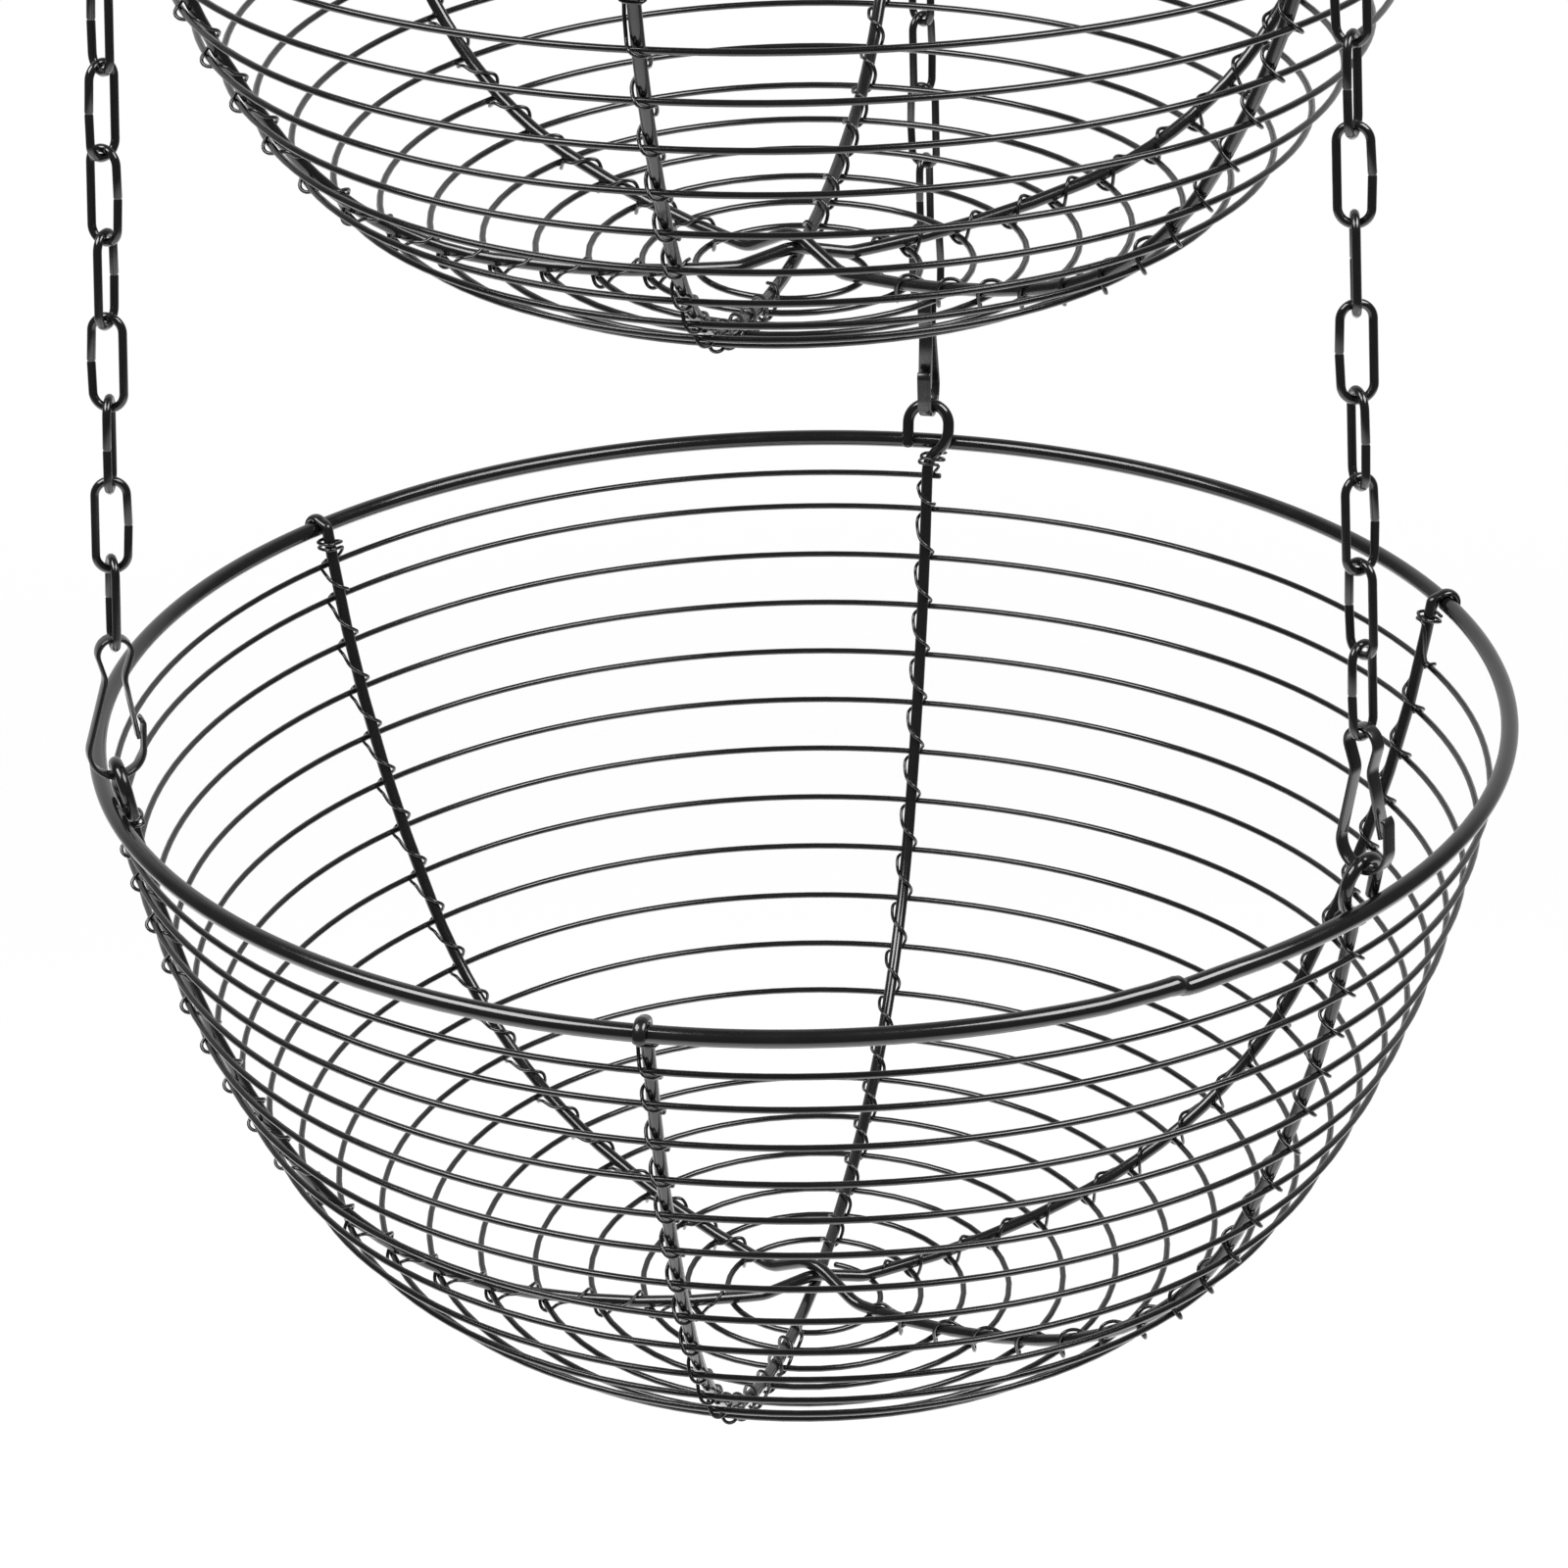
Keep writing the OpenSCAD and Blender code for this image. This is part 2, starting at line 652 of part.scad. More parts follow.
binding_gap = 0.15;
wrap_half = (rib_d + binding_d) / 2 + binding_gap;
over_ring = rib_to_spiral + (spiral_d + binding_d) / 2 + binding_gap;

// Sideways place of the rib where it swings out to form the eye, and how far it leans there
function eye_shift(s) =
  let (lean_angle = asin(max(0, rib_top_run - joint_run - s) / eye_swing_radius))
  [-eye_swing_radius * (1 - cos(lean_angle)), 1 / cos(lean_angle)];

// Distance down the rib of its crossing number j with the spiral, for rib end k of six
function crossing(b, k, j) =
  let (turned = end_step * k % 180, halves = floor(end_step * k / 180))
  b[7] + b[6] * (j + (halves + (1 - cos(turned)) / 2) / 2);

function wrap_turn(k, s) =
  let (shift = k % 2 == 0 ? eye_shift(s) : [0, 1], half = wrap_half * shift[1])
  [
    [s, shift[0] - half, wrap_half],
    [s + wrap_pitch * 0.25, shift[0] + half, wrap_half],
    [s + wrap_pitch * 0.5, shift[0] + half, -wrap_half],
    [s + wrap_pitch * 0.75, shift[0] - half, -wrap_half]
  ];

// Points of one turn, by how far each lies down the rib and sideways of the crossing: over the ring,
// beside the rib at the given height over it, and behind the rib
over_step = [0.7, 0.7];
beside_step = [2.4, 2.2];
beside_height = 1.1;
behind_step = [4.2, 1.4];
function ring_turn(s, pitch) = [
  [s - beside_step[0], -beside_step[1], beside_height],
  [s - over_step[0], -over_step[1], over_ring],
  [s + over_step[0], over_step[1], over_ring],
  [s + beside_step[0], beside_step[1], beside_height],
  [s + behind_step[0], behind_step[1], -wrap_half],
  [s + pitch - behind_step[0], -behind_step[1], -wrap_half]
];

// Tight turns below the rim: distance of the first from the rim, and their number
wrap_start = 2.4;
wrap_count = 2;
function binding_route(b, k) =
  let (
    most = ceil(base_end(b) / b[6]),
    count = len([for (j = [0:most]) if (profile(b, crossing(b, k, j))[0] > binding_stop) j]),
    wraps = [for (i = [0:wrap_count - 1], p = wrap_turn(k, wrap_start + i * wrap_pitch)) p],
    turns = [for (j = [0:count - 1], p = ring_turn(crossing(b, k, j), b[6])) p]
  )
  [for (p = concat(wraps, turns)) bowl_point(b, k, p)];

function bowl_point(b, k, p) =
  let (q = profile(b, p[0]))
  (q[0] + p[2] * cos(q[2])) * radial(end_step * k) + p[1] * tangential(end_step * k)
  + (q[1] - p[2] * sin(q[2])) * Z;

function directions(pts) = [
  for (i = [0:len(pts) - 1]) unit(pts[min(i + 1, len(pts) - 1)] - pts[max(i - 1, 0)])
];
function square_to(v, d) = unit(v - (v * d) * d);
function carried(dirs) = [
  for (
    i = 0, v = square_to(Z, dirs[0]);
    i < len(dirs);
    i = i + 1, v = i < len(dirs) ? square_to(v, dirs[i]) : v
  ) v
];

// Thin tube with a few flat sides along points
module tube(pts, d, sides) {
  dirs = directions(pts);
  ups = carried(dirs);
  last = len(pts) - 1;
  points = [
    for (i = [0:last], j = [0:sides - 1])
      let (a = 360 * j / sides) pts[i] + d / 2 * (cos(a) * ups[i] + sin(a) * cross(dirs[i], ups[i]))
  ];
  skin = [
    for (i = [0:last - 1], j = [0:sides - 1])
      let (a = i * sides + j, b = i * sides + (j + 1) % sides)
      each [[a, a + sides, b], [b, a + sides, b + sides]]
  ];
  ends = [
    for (j = [1:sides - 2]) each [[0, j, j + 1], [last * sides, last * sides + j + 1, last * sides + j]]
  ];
  polyhedron(points, concat(skin, ends));
}

// Flat sides of the binding wire
binding_sides = 3;
// Least gap between stretches of one binding that aren't next to each other
function least_gap(pts) = min([
  for (i = [0:len(pts) - 5], j = [i + 4:min(i + 12, len(pts) - 1)]) norm(pts[i] - pts[j])
]) - binding_d;

module binding(b, k) {
  route = binding_route(b, k);
  echo(binding = k + 1, least_gap = least_gap(route));
  tube(route, binding_d, binding_sides);
}

// Puts a bowl's piece, drawn round the rim's centre with the back eye towards +X, in its tier
module tier(centre) {
  color(black_coat) translate(centre) rotate([0, 0, eye_azimuth]) children();
}

// Rib number n of a bowl: each eye stands a third of a turn on, and each rib rides over the last
module bowl_rib(b, n) {
  rib(b, eye_step * n, rib_rise * n);
}

module upper_rim() {
  tier(upper_centre) rim(upper_bowl);
}

module upper_rib(n) {
  tier(upper_centre) bowl_rib(upper_bowl, n);
}

module upper_spiral() {
  tier(upper_centre) spiral(upper_bowl);
}

module upper_binding(k) {
  tier(upper_centre) binding(upper_bowl, k);
}

module lower_rim() {
  tier(lower_centre) rim(lower_bowl);
}

module lower_rib(n) {
  tier(lower_centre) bowl_rib(lower_bowl, n);
}

module lower_spiral() {
  tier(lower_centre) spiral(lower_bowl);
}

module lower_binding(k) {
  tier(lower_centre) binding(lower_bowl, k);
}

s_hook();
connecting_link();
top_ring();
upper_chain(0);  // upper_chain_1
upper_chain(1);  // upper_chain_2
upper_chain(2);  // upper_chain_3
upper_clip(0);  // upper_clip_1
upper_clip(1);  // upper_clip_2
upper_clip(2);  // upper_clip_3
upper_rim();
upper_rib(0);  // upper_rib_a
upper_rib(1);  // upper_rib_b
upper_rib(2);  // upper_rib_c
upper_spiral();
upper_binding(0);  // upper_binding_1
upper_binding(1);  // upper_binding_2
upper_binding(2);  // upper_binding_3
upper_binding(3);  // upper_binding_4
upper_binding(4);  // upper_binding_5
upper_binding(5);  // upper_binding_6
top_link(0);  // top_link_1
top_link(1);  // top_link_2
top_link(2);  // top_link_3
pivot_link(0);  // pivot_link_1
pivot_link(1);  // pivot_link_2
pivot_link(2);  // pivot_link_3
lower_chain(0);  // lower_chain_1
lower_chain(1);  // lower_chain_2
lower_chain(2);  // lower_chain_3
swivel_link(0);  // swivel_link_1
swivel_link(1);  // swivel_link_2
swivel_link(2);  // swivel_link_3
end_link(0);  // end_link_1
end_link(1);  // end_link_2
end_link(2);  // end_link_3
lower_clip(0);  // lower_clip_1
lower_clip(1);  // lower_clip_2
lower_clip(2);  // lower_clip_3
lower_rim();
lower_rib(0);  // lower_rib_a
lower_rib(1);  // lower_rib_b
lower_rib(2);  // lower_rib_c
lower_spiral();
lower_binding(0);  // lower_binding_1
lower_binding(1);  // lower_binding_2
lower_binding(2);  // lower_binding_3
lower_binding(3);  // lower_binding_4
lower_binding(4);  // lower_binding_5
lower_binding(5);  // lower_binding_6
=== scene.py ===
"""Hanging fruit basket of gloss black steel wire: two bowls, three chains each, clips, ring and S-hook.

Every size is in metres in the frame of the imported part: +Z up, the origin at the bearing point inside
the S-hook's upper bend. The bowls, chains and clips follow the same rules as the part's source, so each
piece lies on the solid that it stands for.
"""

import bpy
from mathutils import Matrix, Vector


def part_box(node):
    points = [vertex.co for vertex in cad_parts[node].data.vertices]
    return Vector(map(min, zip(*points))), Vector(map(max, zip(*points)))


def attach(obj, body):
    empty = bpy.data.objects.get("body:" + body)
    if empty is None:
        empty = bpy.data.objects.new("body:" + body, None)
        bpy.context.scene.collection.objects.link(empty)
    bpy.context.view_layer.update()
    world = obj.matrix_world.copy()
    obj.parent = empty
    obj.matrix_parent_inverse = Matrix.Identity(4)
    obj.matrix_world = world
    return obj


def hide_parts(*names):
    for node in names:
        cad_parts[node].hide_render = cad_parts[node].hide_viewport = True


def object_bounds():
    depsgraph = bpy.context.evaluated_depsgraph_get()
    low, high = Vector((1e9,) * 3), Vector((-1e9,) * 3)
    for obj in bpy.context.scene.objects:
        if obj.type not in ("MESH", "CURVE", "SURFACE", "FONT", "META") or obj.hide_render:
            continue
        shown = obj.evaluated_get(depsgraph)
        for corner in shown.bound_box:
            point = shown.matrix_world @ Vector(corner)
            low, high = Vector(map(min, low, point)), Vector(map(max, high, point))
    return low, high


bl_info = {
    "name": "Hanging wire fruit basket",
    "version": (1, 0, 0),
    "blender": (4, 5, 0),
    "location": "View3D > Sidebar > Fruit basket",
    "description": "Builds a two-tier hanging fruit basket of enamelled wire and its studio",
    "category": "Add Mesh",
}

from math import acos, asin, atan, atan2, ceil, cos, degrees, exp, floor, pi, radians, sin, sqrt, tan

import bpy
from bpy.props import BoolProperty, FloatProperty, FloatVectorProperty, IntProperty, PointerProperty
from mathutils import Matrix, Vector

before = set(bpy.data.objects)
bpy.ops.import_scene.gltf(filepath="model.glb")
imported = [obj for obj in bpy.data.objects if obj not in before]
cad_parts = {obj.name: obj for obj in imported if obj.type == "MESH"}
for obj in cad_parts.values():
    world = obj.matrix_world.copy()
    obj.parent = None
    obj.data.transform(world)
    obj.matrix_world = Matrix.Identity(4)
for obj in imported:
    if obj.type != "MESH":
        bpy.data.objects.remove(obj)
cad_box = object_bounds()

MM = 0.001
X, Y, Z = Vector((1, 0, 0)), Vector((0, 1, 0)), Vector((0, 0, 1))
LEGS = (0, 1, 2)
TIERS = ("upper", "lower")


# Sizes and colours that a user would change


def length(name, text, value, low=0.0, high=1.0):
    """A size in metres."""
    return FloatProperty(name=name, description=text, default=value, min=low, max=high, precision=5,
                         subtype="DISTANCE", unit="LENGTH")


def angle(name, text, value):
    """An angle, given in degrees and kept in radians."""
    return FloatProperty(name=name, description=text, default=radians(value), subtype="ANGLE", unit="ROTATION")


def colour(name, text, value):
    """A colour, given as sRGB hex."""
    return FloatVectorProperty(name=name, description=text, default=linear(value), size=3, min=0, max=1,
                               subtype="COLOR")


def linear(hex_colour):
    """The linear values of an sRGB hex colour."""
    shares = [int(hex_colour[i:i + 2], 16) / 255 for i in (1, 3, 5)]
    return tuple(c / 12.92 if c <= 0.04045 else ((c + 0.055) / 1.055) ** 2.4 for c in shares)


def bowl_sizes(rim, depth, lean, side, turn, turn_radius, pitch, start, first, core, lift):
    """The sizes of one bowl."""
    return {
        "rim": length("Rim", "Outside diameter of the rim ring", rim),
        "depth": length("Depth", "From the rim's centre to the ribs' centre at the bottom", depth),
        "lean": angle("Lean", "Lean of the side at the rim, from the vertical", lean),
        "side": angle("Side ends", "Slope at which the side's curve meets the turn", side),
        "turn": angle("Turn ends", "Slope at which the turn meets the bottom's curve", turn),
        "turn_radius": length("Turn radius", "Radius of the turn between side and bottom", turn_radius),
        "pitch": length("Spiral pitch", "Distance between rings of the spiral, down the side", pitch),
        "start": length("Spiral start", "Distance from the rim to the spiral's first ring", start),
        "first": length("First pitch", "Distance between the spiral's first two rings", first),
        "core": length("Core pitch", "Distance between rings of the spiral's last turns", core),
        "lift": length("Lift", "How much closer to the rim the rings pass on the side away from the first eye",
                       lift),
    }


class LowerBowl(bpy.types.PropertyGroup):
    """Sizes of the lower bowl"""
    __annotations__ = bowl_sizes(0.304, 0.145, 10, 27.5, 69.3, 0.098,
                                 0.01165, 0.0082, 0.0081, 0.009, 0.0112)


class UpperBowl(bpy.types.PropertyGroup):
    """Sizes of the upper bowl"""
    __annotations__ = bowl_sizes(0.274, 0.101, 13, 34, 74, 0.075,
                                 0.011, 0.0082, 0.011, 0.011, 0)


class WireSizes(bpy.types.PropertyGroup):
    """Wire diameters"""
    rim: length("Rim wire", "Wire diameter of the rim rings", 0.0037)
    rib: length("Rib wire", "Wire diameter of the ribs", 0.0027)
    spiral: length("Spiral wire", "Wire diameter of the spirals", 0.0014)
    binding: length("Binding wire", "Wire diameter of the bindings, with the enamel that fills in round them",
                    0.0008)
    link: length("Chain wire", "Wire diameter of the chain links", 0.0018)
    hook: length("S-hook wire", "Wire diameter of the S-hook", 0.004)
    joiner: length("Connecting link wire", "Wire diameter of the connecting link", 0.003)
    ring: length("Top ring wire", "Wire diameter of the top ring", 0.0035)


class ChainSizes(bpy.types.PropertyGroup):
    """Sizes of the chains"""
    link_length: length("Link length", "Outside length of a link", 0.0212)
    link_width: length("Link width", "Outside width of a link", 0.00825)
    upper_links: IntProperty(name="Upper links", description="Links in each upper chain", default=14, min=5, max=24)
    lower_links: IntProperty(name="Lower links", description="Links in each lower chain", default=10, min=6, max=16)


class ClipSizes(bpy.types.PropertyGroup):
    """Sizes of the strip clips"""
    width: length("Strip width", "Width of the strip", 0.0032)
    thickness: length("Strip thickness", "Thickness of the strip", 0.0009)
    bulb: length("Wide end", "Centre-line radius of the wide end", 0.00572)
    crown: length("Narrow end", "Centre-line radius of the narrow end", 0.00348)
    span: length("Span", "Distance between the centres of the two ends", 0.0217)
    neck: length("Neck", "Centre-line radius of the bends at the neck", 0.005)


class Finish(bpy.types.PropertyGroup):
    """Colours and gloss of the enamel"""
    wire: colour("Wire", "Enamel on the rims, ribs and spirals", "#131214")
    chain: colour("Chain", "Enamel on the links, ring and hook", "#111112")
    clip: colour("Clip", "Enamel on the spring strip", "#161617")
    roughness: FloatProperty(name="Roughness", description="Roughness of the enamel", default=0.17, min=0, max=1,
                             subtype="FACTOR")


class Studio(bpy.types.PropertyGroup):
    """Light and floor"""
    drop: length("Floor", "Height of the floor below the basket", 0.75, 0.05, 3)
    floor: colour("Floor colour", "Matt pale floor", "#F2F2F2")
    key: FloatProperty(name="Side lights", description="Power of each side light", default=15, min=0, subtype="POWER",
                       unit="POWER")


class Basket(bpy.types.PropertyGroup):
    """Everything that the basket is built from"""
    lower: PointerProperty(type=LowerBowl, name="Lower bowl")
    upper: PointerProperty(type=UpperBowl, name="Upper bowl")
    wires: PointerProperty(type=WireSizes, name="Wires")
    chain: PointerProperty(type=ChainSizes, name="Chains")
    clip: PointerProperty(type=ClipSizes, name="Clips")
    finish: PointerProperty(type=Finish, name="Finish")
    studio: PointerProperty(type=Studio, name="Studio")


# Places that the part's source works out from its sizes

EYE_AZIMUTH = radians(77.6)
EYE_STEP = radians(120)
END_STEP = radians(60)
EYE_RADIUS = 4.85 * MM
EYE_HEIGHT = 10.2 * MM
EYE_SWING = radians(48)
RIB_TOP_RUN = 7.1 * MM
HOOK_WRAP = radians(188)
JOINT_RUN = 0.3 * MM
RIM_GAP = 0.2 * MM
SPIRAL_GAP = 0.12 * MM
BEARING_GAP = 0.1 * MM
SPIRAL_TAIL = 3 * MM
SWAY_ROOM = 0.45 * MM
# Azimuth of each rim's butt weld
WELDS = {"lower": radians(-62), "upper": radians(150)}
CORE_RADIUS = 10 * MM
# Half turns of the spiral between its first turn and its core, and the share of a rib over which its rings lift
CORE_START = 30
LIFT_SHARE = 0.89
HUMP_REACH = 16 * MM
HUMP_RADIUS = 8 * MM
HUMP_SLOPE = radians(4.8) / MM


def radial(a):
    return Vector((cos(a), sin(a), 0))


def tangential(a):
    return Vector((-sin(a), cos(a), 0))


def middle(node):
    """The middle of a node's box."""
    low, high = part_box(node)
    return (low + high) / 2


def place(origin, x, y, z):
    """The matrix of a frame with that origin and those axes."""
    return Matrix.Translation(origin) @ Matrix((x, y, z)).transposed().to_4x4()


def bent(at, steps, fine=4):
    """Points along a wire that leaves the frame at towards its +Z. A step is (roll, bend radius, angle), or
    (roll, 0, length); a bend goes towards +X. fine is the angle between points, in degrees."""
    points = [at.translation.copy()]
    for roll, radius, amount in steps:
        at = at @ Matrix.Rotation(radians(roll), 4, "Z")
        if radius == 0:
            at = at @ Matrix.Translation((0, 0, amount))
            points.append(at.translation.copy())
            continue
        count = max(2, ceil(degrees(amount) / fine))
        for i in range(1, count + 1):
            turned = amount * i / count
            points.append(at @ Vector((radius * (1 - cos(turned)), 0, radius * sin(turned))))
        at = (at @ Matrix.Translation((radius * (1 - cos(amount)), 0, radius * sin(amount)))
              @ Matrix.Rotation(amount, 4, "Y"))
    return points


class Bowl:
    """One bowl's curves, in its own frame: the rim's centre at the origin, the first eye towards +X."""

    def __init__(self, basket, tier):
        sizes, wires = getattr(basket, tier), basket.wires
        self.tier, self.sizes, self.wires = tier, sizes, wires
        self.rim_radius = (sizes.rim - wires.rim) / 2
        self.rim_to_rib = (wires.rim + wires.rib) / 2 + RIM_GAP
        self.rib_to_spiral = (wires.rib + wires.spiral) / 2 + SPIRAL_GAP
        self.pass_radius = self.rim_radius - self.rim_to_rib * cos(sizes.lean)
        self.pass_height = self.rim_to_rib * sin(sizes.lean)
        lean, side, turn, radius = sizes.lean, sizes.side, sizes.turn, sizes.turn_radius
        reach = (self.pass_radius - RIB_TOP_RUN * sin(lean) - radius * (cos(side) - cos(turn))
                 - JOINT_RUN * (sin(side) + sin(turn) + 1))
        drop = (sizes.depth + self.pass_height - RIB_TOP_RUN * cos(lean) - radius * (sin(turn) - sin(side))
                - JOINT_RUN * (cos(side) + cos(turn)))
        side_reach, side_drop = cos(lean) - cos(side), sin(side) - sin(lean)
        base_reach, base_drop = cos(turn), 1 - sin(turn)
        det = side_reach * base_drop - base_reach * side_drop
        self.side_radius = (reach * base_drop - base_reach * drop) / det
        self.base_radius = (side_reach * drop - side_drop * reach) / det
        self.side_end = RIB_TOP_RUN + self.side_radius * (side - lean)
        self.turn_end = self.side_end + JOINT_RUN + radius * (turn - side)
        self.base_end = self.turn_end + JOINT_RUN + self.base_radius * (pi / 2 - turn)
        self.eye_top = (self.pass_radius + (EYE_HEIGHT - self.pass_height) * tan(lean), EYE_HEIGHT)
        centre = middle(f"{tier}_rim")
        self.place = Matrix.Translation(centre) @ Matrix.Rotation(EYE_AZIMUTH, 4, "Z")
        self.centre = centre
        self.weld = WELDS[tier]

    def profile(self, s):
        """(radius, height, slope) of a rib's centre-line at distance s below the rim."""

        def run(p, distance):
            return (p[0] - distance * sin(p[2]), p[1] - distance * cos(p[2]), p[2])

        def arc(p, radius, amount):
            turned = p[2] + amount
            return (p[0] - radius * (cos(p[2]) - cos(turned)), p[1] - radius * (sin(turned) - sin(p[2])), turned)

        sizes = self.sizes
        start = (self.pass_radius, self.pass_height, sizes.lean)
        if s < RIB_TOP_RUN:
            return run(start, s)
        side = run(start, RIB_TOP_RUN)
        if s < self.side_end:
            return arc(side, self.side_radius, (s - RIB_TOP_RUN) / self.side_radius)
        turn = arc(side, self.side_radius, sizes.side - sizes.lean)
        if s < self.side_end + JOINT_RUN:
            return run(turn, s - self.side_end)
        turn = run(turn, JOINT_RUN)
        if s < self.turn_end:
            return arc(turn, sizes.turn_radius, (s - self.side_end - JOINT_RUN) / sizes.turn_radius)
        base = arc(turn, sizes.turn_radius, sizes.turn - sizes.side)
        if s < self.turn_end + JOINT_RUN:
            return run(base, s - self.turn_end)
        return arc(run(base, JOINT_RUN), self.base_radius, (s - self.turn_end - JOINT_RUN) / self.base_radius)

    def at(self, k, s, side, out):
        """The point of rib end k at distance s below the rim, off to a side and out of the bowl."""
        r, z, slope = self.profile(s)
        a = END_STEP * k
        return (r + out * cos(slope)) * radial(a) + side * tangential(a) + (z - out * sin(slope)) * Z

    def crossing(self, k, turn):
        """Distance below the rim at which rib end k crosses the spiral for that turn."""
        halves, ends = divmod(k, 3)
        above, below = (self.ring(2 * turn + halves + i) for i in (0, 1))
        return above + (below - above) * (1 - cos(END_STEP * ends)) / 2

    def ring(self, halves):
        """Distance below the rim of the spiral's wire after that many whole half turns."""
        sizes = self.sizes
        s = (sizes.start + sizes.first / 2 * min(halves, 2) + sizes.pitch / 2 * min(max(halves - 2, 0), CORE_START)
             + sizes.core / 2 * max(halves - 2 - CORE_START, 0))
        if halves % 2:
            s -= sizes.lift * sin(pi * min(1, s / (LIFT_SHARE * self.base_end)))
        return s

    def rib(self, n):
        """Points along rib n, from its plain end under the bowl to its eye."""
        sizes = self.sizes
        rise = (self.wires.rib + BEARING_GAP) * n
        height = rise - sizes.depth
        base = [(0, self.base_radius, pi / 2 - sizes.turn)]
        if rise:
            meet = asin(HUMP_REACH / self.base_radius)
            fall = HUMP_SLOPE * rise
            across = HUMP_REACH - HUMP_RADIUS * (2 * sin(fall) + sin(meet))
            down = (self.base_radius * (1 - cos(meet)) - rise
                    + HUMP_RADIUS * (1 + cos(meet) - 2 * cos(fall)))
            det = sin(fall + meet)
            base = [(180, HUMP_RADIUS, fall), (0, 0, (across * sin(meet) - down * cos(meet)) / det),
                    (180, HUMP_RADIUS, fall + meet), (0, 0, (across * sin(fall) + down * cos(fall)) / det),
                    (0, self.base_radius, pi / 2 - sizes.turn - meet)]
        side = [(0, 0, JOINT_RUN), (0, sizes.turn_radius, sizes.turn - sizes.side), (0, 0, JOINT_RUN),
                (0, self.side_radius, sizes.side - sizes.lean)]
        swing = (EYE_RADIUS - JOINT_RUN * sin(EYE_SWING)) / (2 * (1 - cos(EYE_SWING)))
        rise_to_eye = (EYE_HEIGHT - self.pass_height) / cos(sizes.lean) - EYE_RADIUS
        lead = rise_to_eye + RIB_TOP_RUN - JOINT_RUN * (1 + cos(EYE_SWING)) - 2 * swing * sin(EYE_SWING)
        leg = rise_to_eye + (self.pass_height + 0.5 * MM) / cos(sizes.lean)
        eye = [(0, 0, JOINT_RUN), (90, swing, EYE_SWING), (0, 0, JOINT_RUN), (180, swing, EYE_SWING),
               (0, 0, lead), (0, EYE_RADIUS, pi), (0, 0, leg)]
        plain = [(0, 0, RIB_TOP_RUN), (180, self.rim_to_rib, HOOK_WRAP)]
        halves = []
        for turned, end in ((0, eye), (pi, plain)):
            start = (Matrix.Rotation(EYE_STEP * n + turned, 4, "Z")
                     @ place(Vector((JOINT_RUN, 0, height)), Z, -Y, X))
            halves.append(bent(start, base + side + end))
        return [self.place @ p for p in halves[1][::-1] + halves[0]]

    def spiral(self):
        """Points along the spiral, half a turn at a time."""
        count = 0
        while self.ring(count + 1) < self.base_end - CORE_RADIUS:
            count += 1
        ends = []
        for i in range(count + 1):
            r, z, slope = self.profile(self.ring(i))
            ends.append((r + self.rib_to_spiral * cos(slope), z - self.rib_to_spiral * sin(slope)))
        points = [Vector((ends[0][0], -SPIRAL_TAIL, ends[0][1]))]
        for i in range(count):
            (near, high), (far, low) = ends[i], ends[i + 1]
            radius, fall = (near + far) / 2, high - low
            steps = max(24, round(radius / MM * 0.55))
            for j in range(steps):
                a = pi * j / steps
                p = Vector(((near - far) / 2 + radius * cos(a), radius * sin(a), (high + low) / 2 + fall / 2 * cos(a)))
                points.append(Matrix.Rotation(pi * i, 4, "Z") @ p)
        return [self.place @ p for p in points]

    def rim(self):
        """Points round the rim with each point's thickness. At the butt weld one end stands a little higher
        than the other and ends in a bead, and the next wire starts with a short neck."""
        marks = [(-16, 0, 1), (-6, 0.35, 1), (-2.2, 0.5, 1.02), (-0.9, 0.5, 1.08), (-0.1, 0.38, 1.08),
                 (0.35, 0.1, 0.99), (1.0, -0.3, 0.93), (2.0, -0.42, 0.96), (4.0, -0.38, 1), (14, 0, 1)]
        first, last = (marks[i][0] * MM / self.rim_radius for i in (0, -1))
        rings = [(offset * MM / self.rim_radius, rise * MM, share) for offset, rise, share in marks]
        count = 300
        rings += [(last + (2 * pi - last + first) * i / count, 0, 1) for i in range(1, count)]
        points = [self.rim_radius * radial(self.weld + a) + rise * Z for a, rise, _ in rings]
        return [Matrix.Translation(self.centre) @ p for p in points], [share for _, _, share in rings]


# Nodes and meshes


def add(tree, kind, inputs=None, **settings):
    """Adds one node. inputs maps a socket's name or number to a value or to the socket that feeds it."""
    node = tree.nodes.new(kind)
    for name, value in settings.items():
        setattr(node, name, value)
    for key, value in (inputs or {}).items():
        if isinstance(value, bpy.types.NodeSocket):
            tree.links.new(value, node.inputs[key])
        else:
            node.inputs[key].default_value = value
    return node


def new_tree(name, inputs):
    """An empty geometry tree with named inputs, each (name, kind)."""
    tree = bpy.data.node_groups.new(name, "GeometryNodeTree")
    for label, kind in inputs:
        tree.interface.new_socket(label, in_out="INPUT", socket_type=f"NodeSocket{kind}")
    tree.interface.new_socket("Geometry", in_out="OUTPUT", socket_type="NodeSocketGeometry")
    return tree, tree.nodes.new("NodeGroupInput").outputs


def finish_tree(tree, geometry, material):
    """Realizes the geometry, gives it its material and ends the tree."""
    smooth = add(tree, "GeometryNodeSetShadeSmooth", {"Geometry": geometry})
    real = add(tree, "GeometryNodeRealizeInstances", {"Geometry": smooth.outputs[0]})
    coated = add(tree, "GeometryNodeSetMaterial", {"Geometry": real.outputs[0], "Material": material})
    out = tree.nodes.new("NodeGroupOutput")
    tree.links.new(coated.outputs[0], out.inputs[0])
    return tree


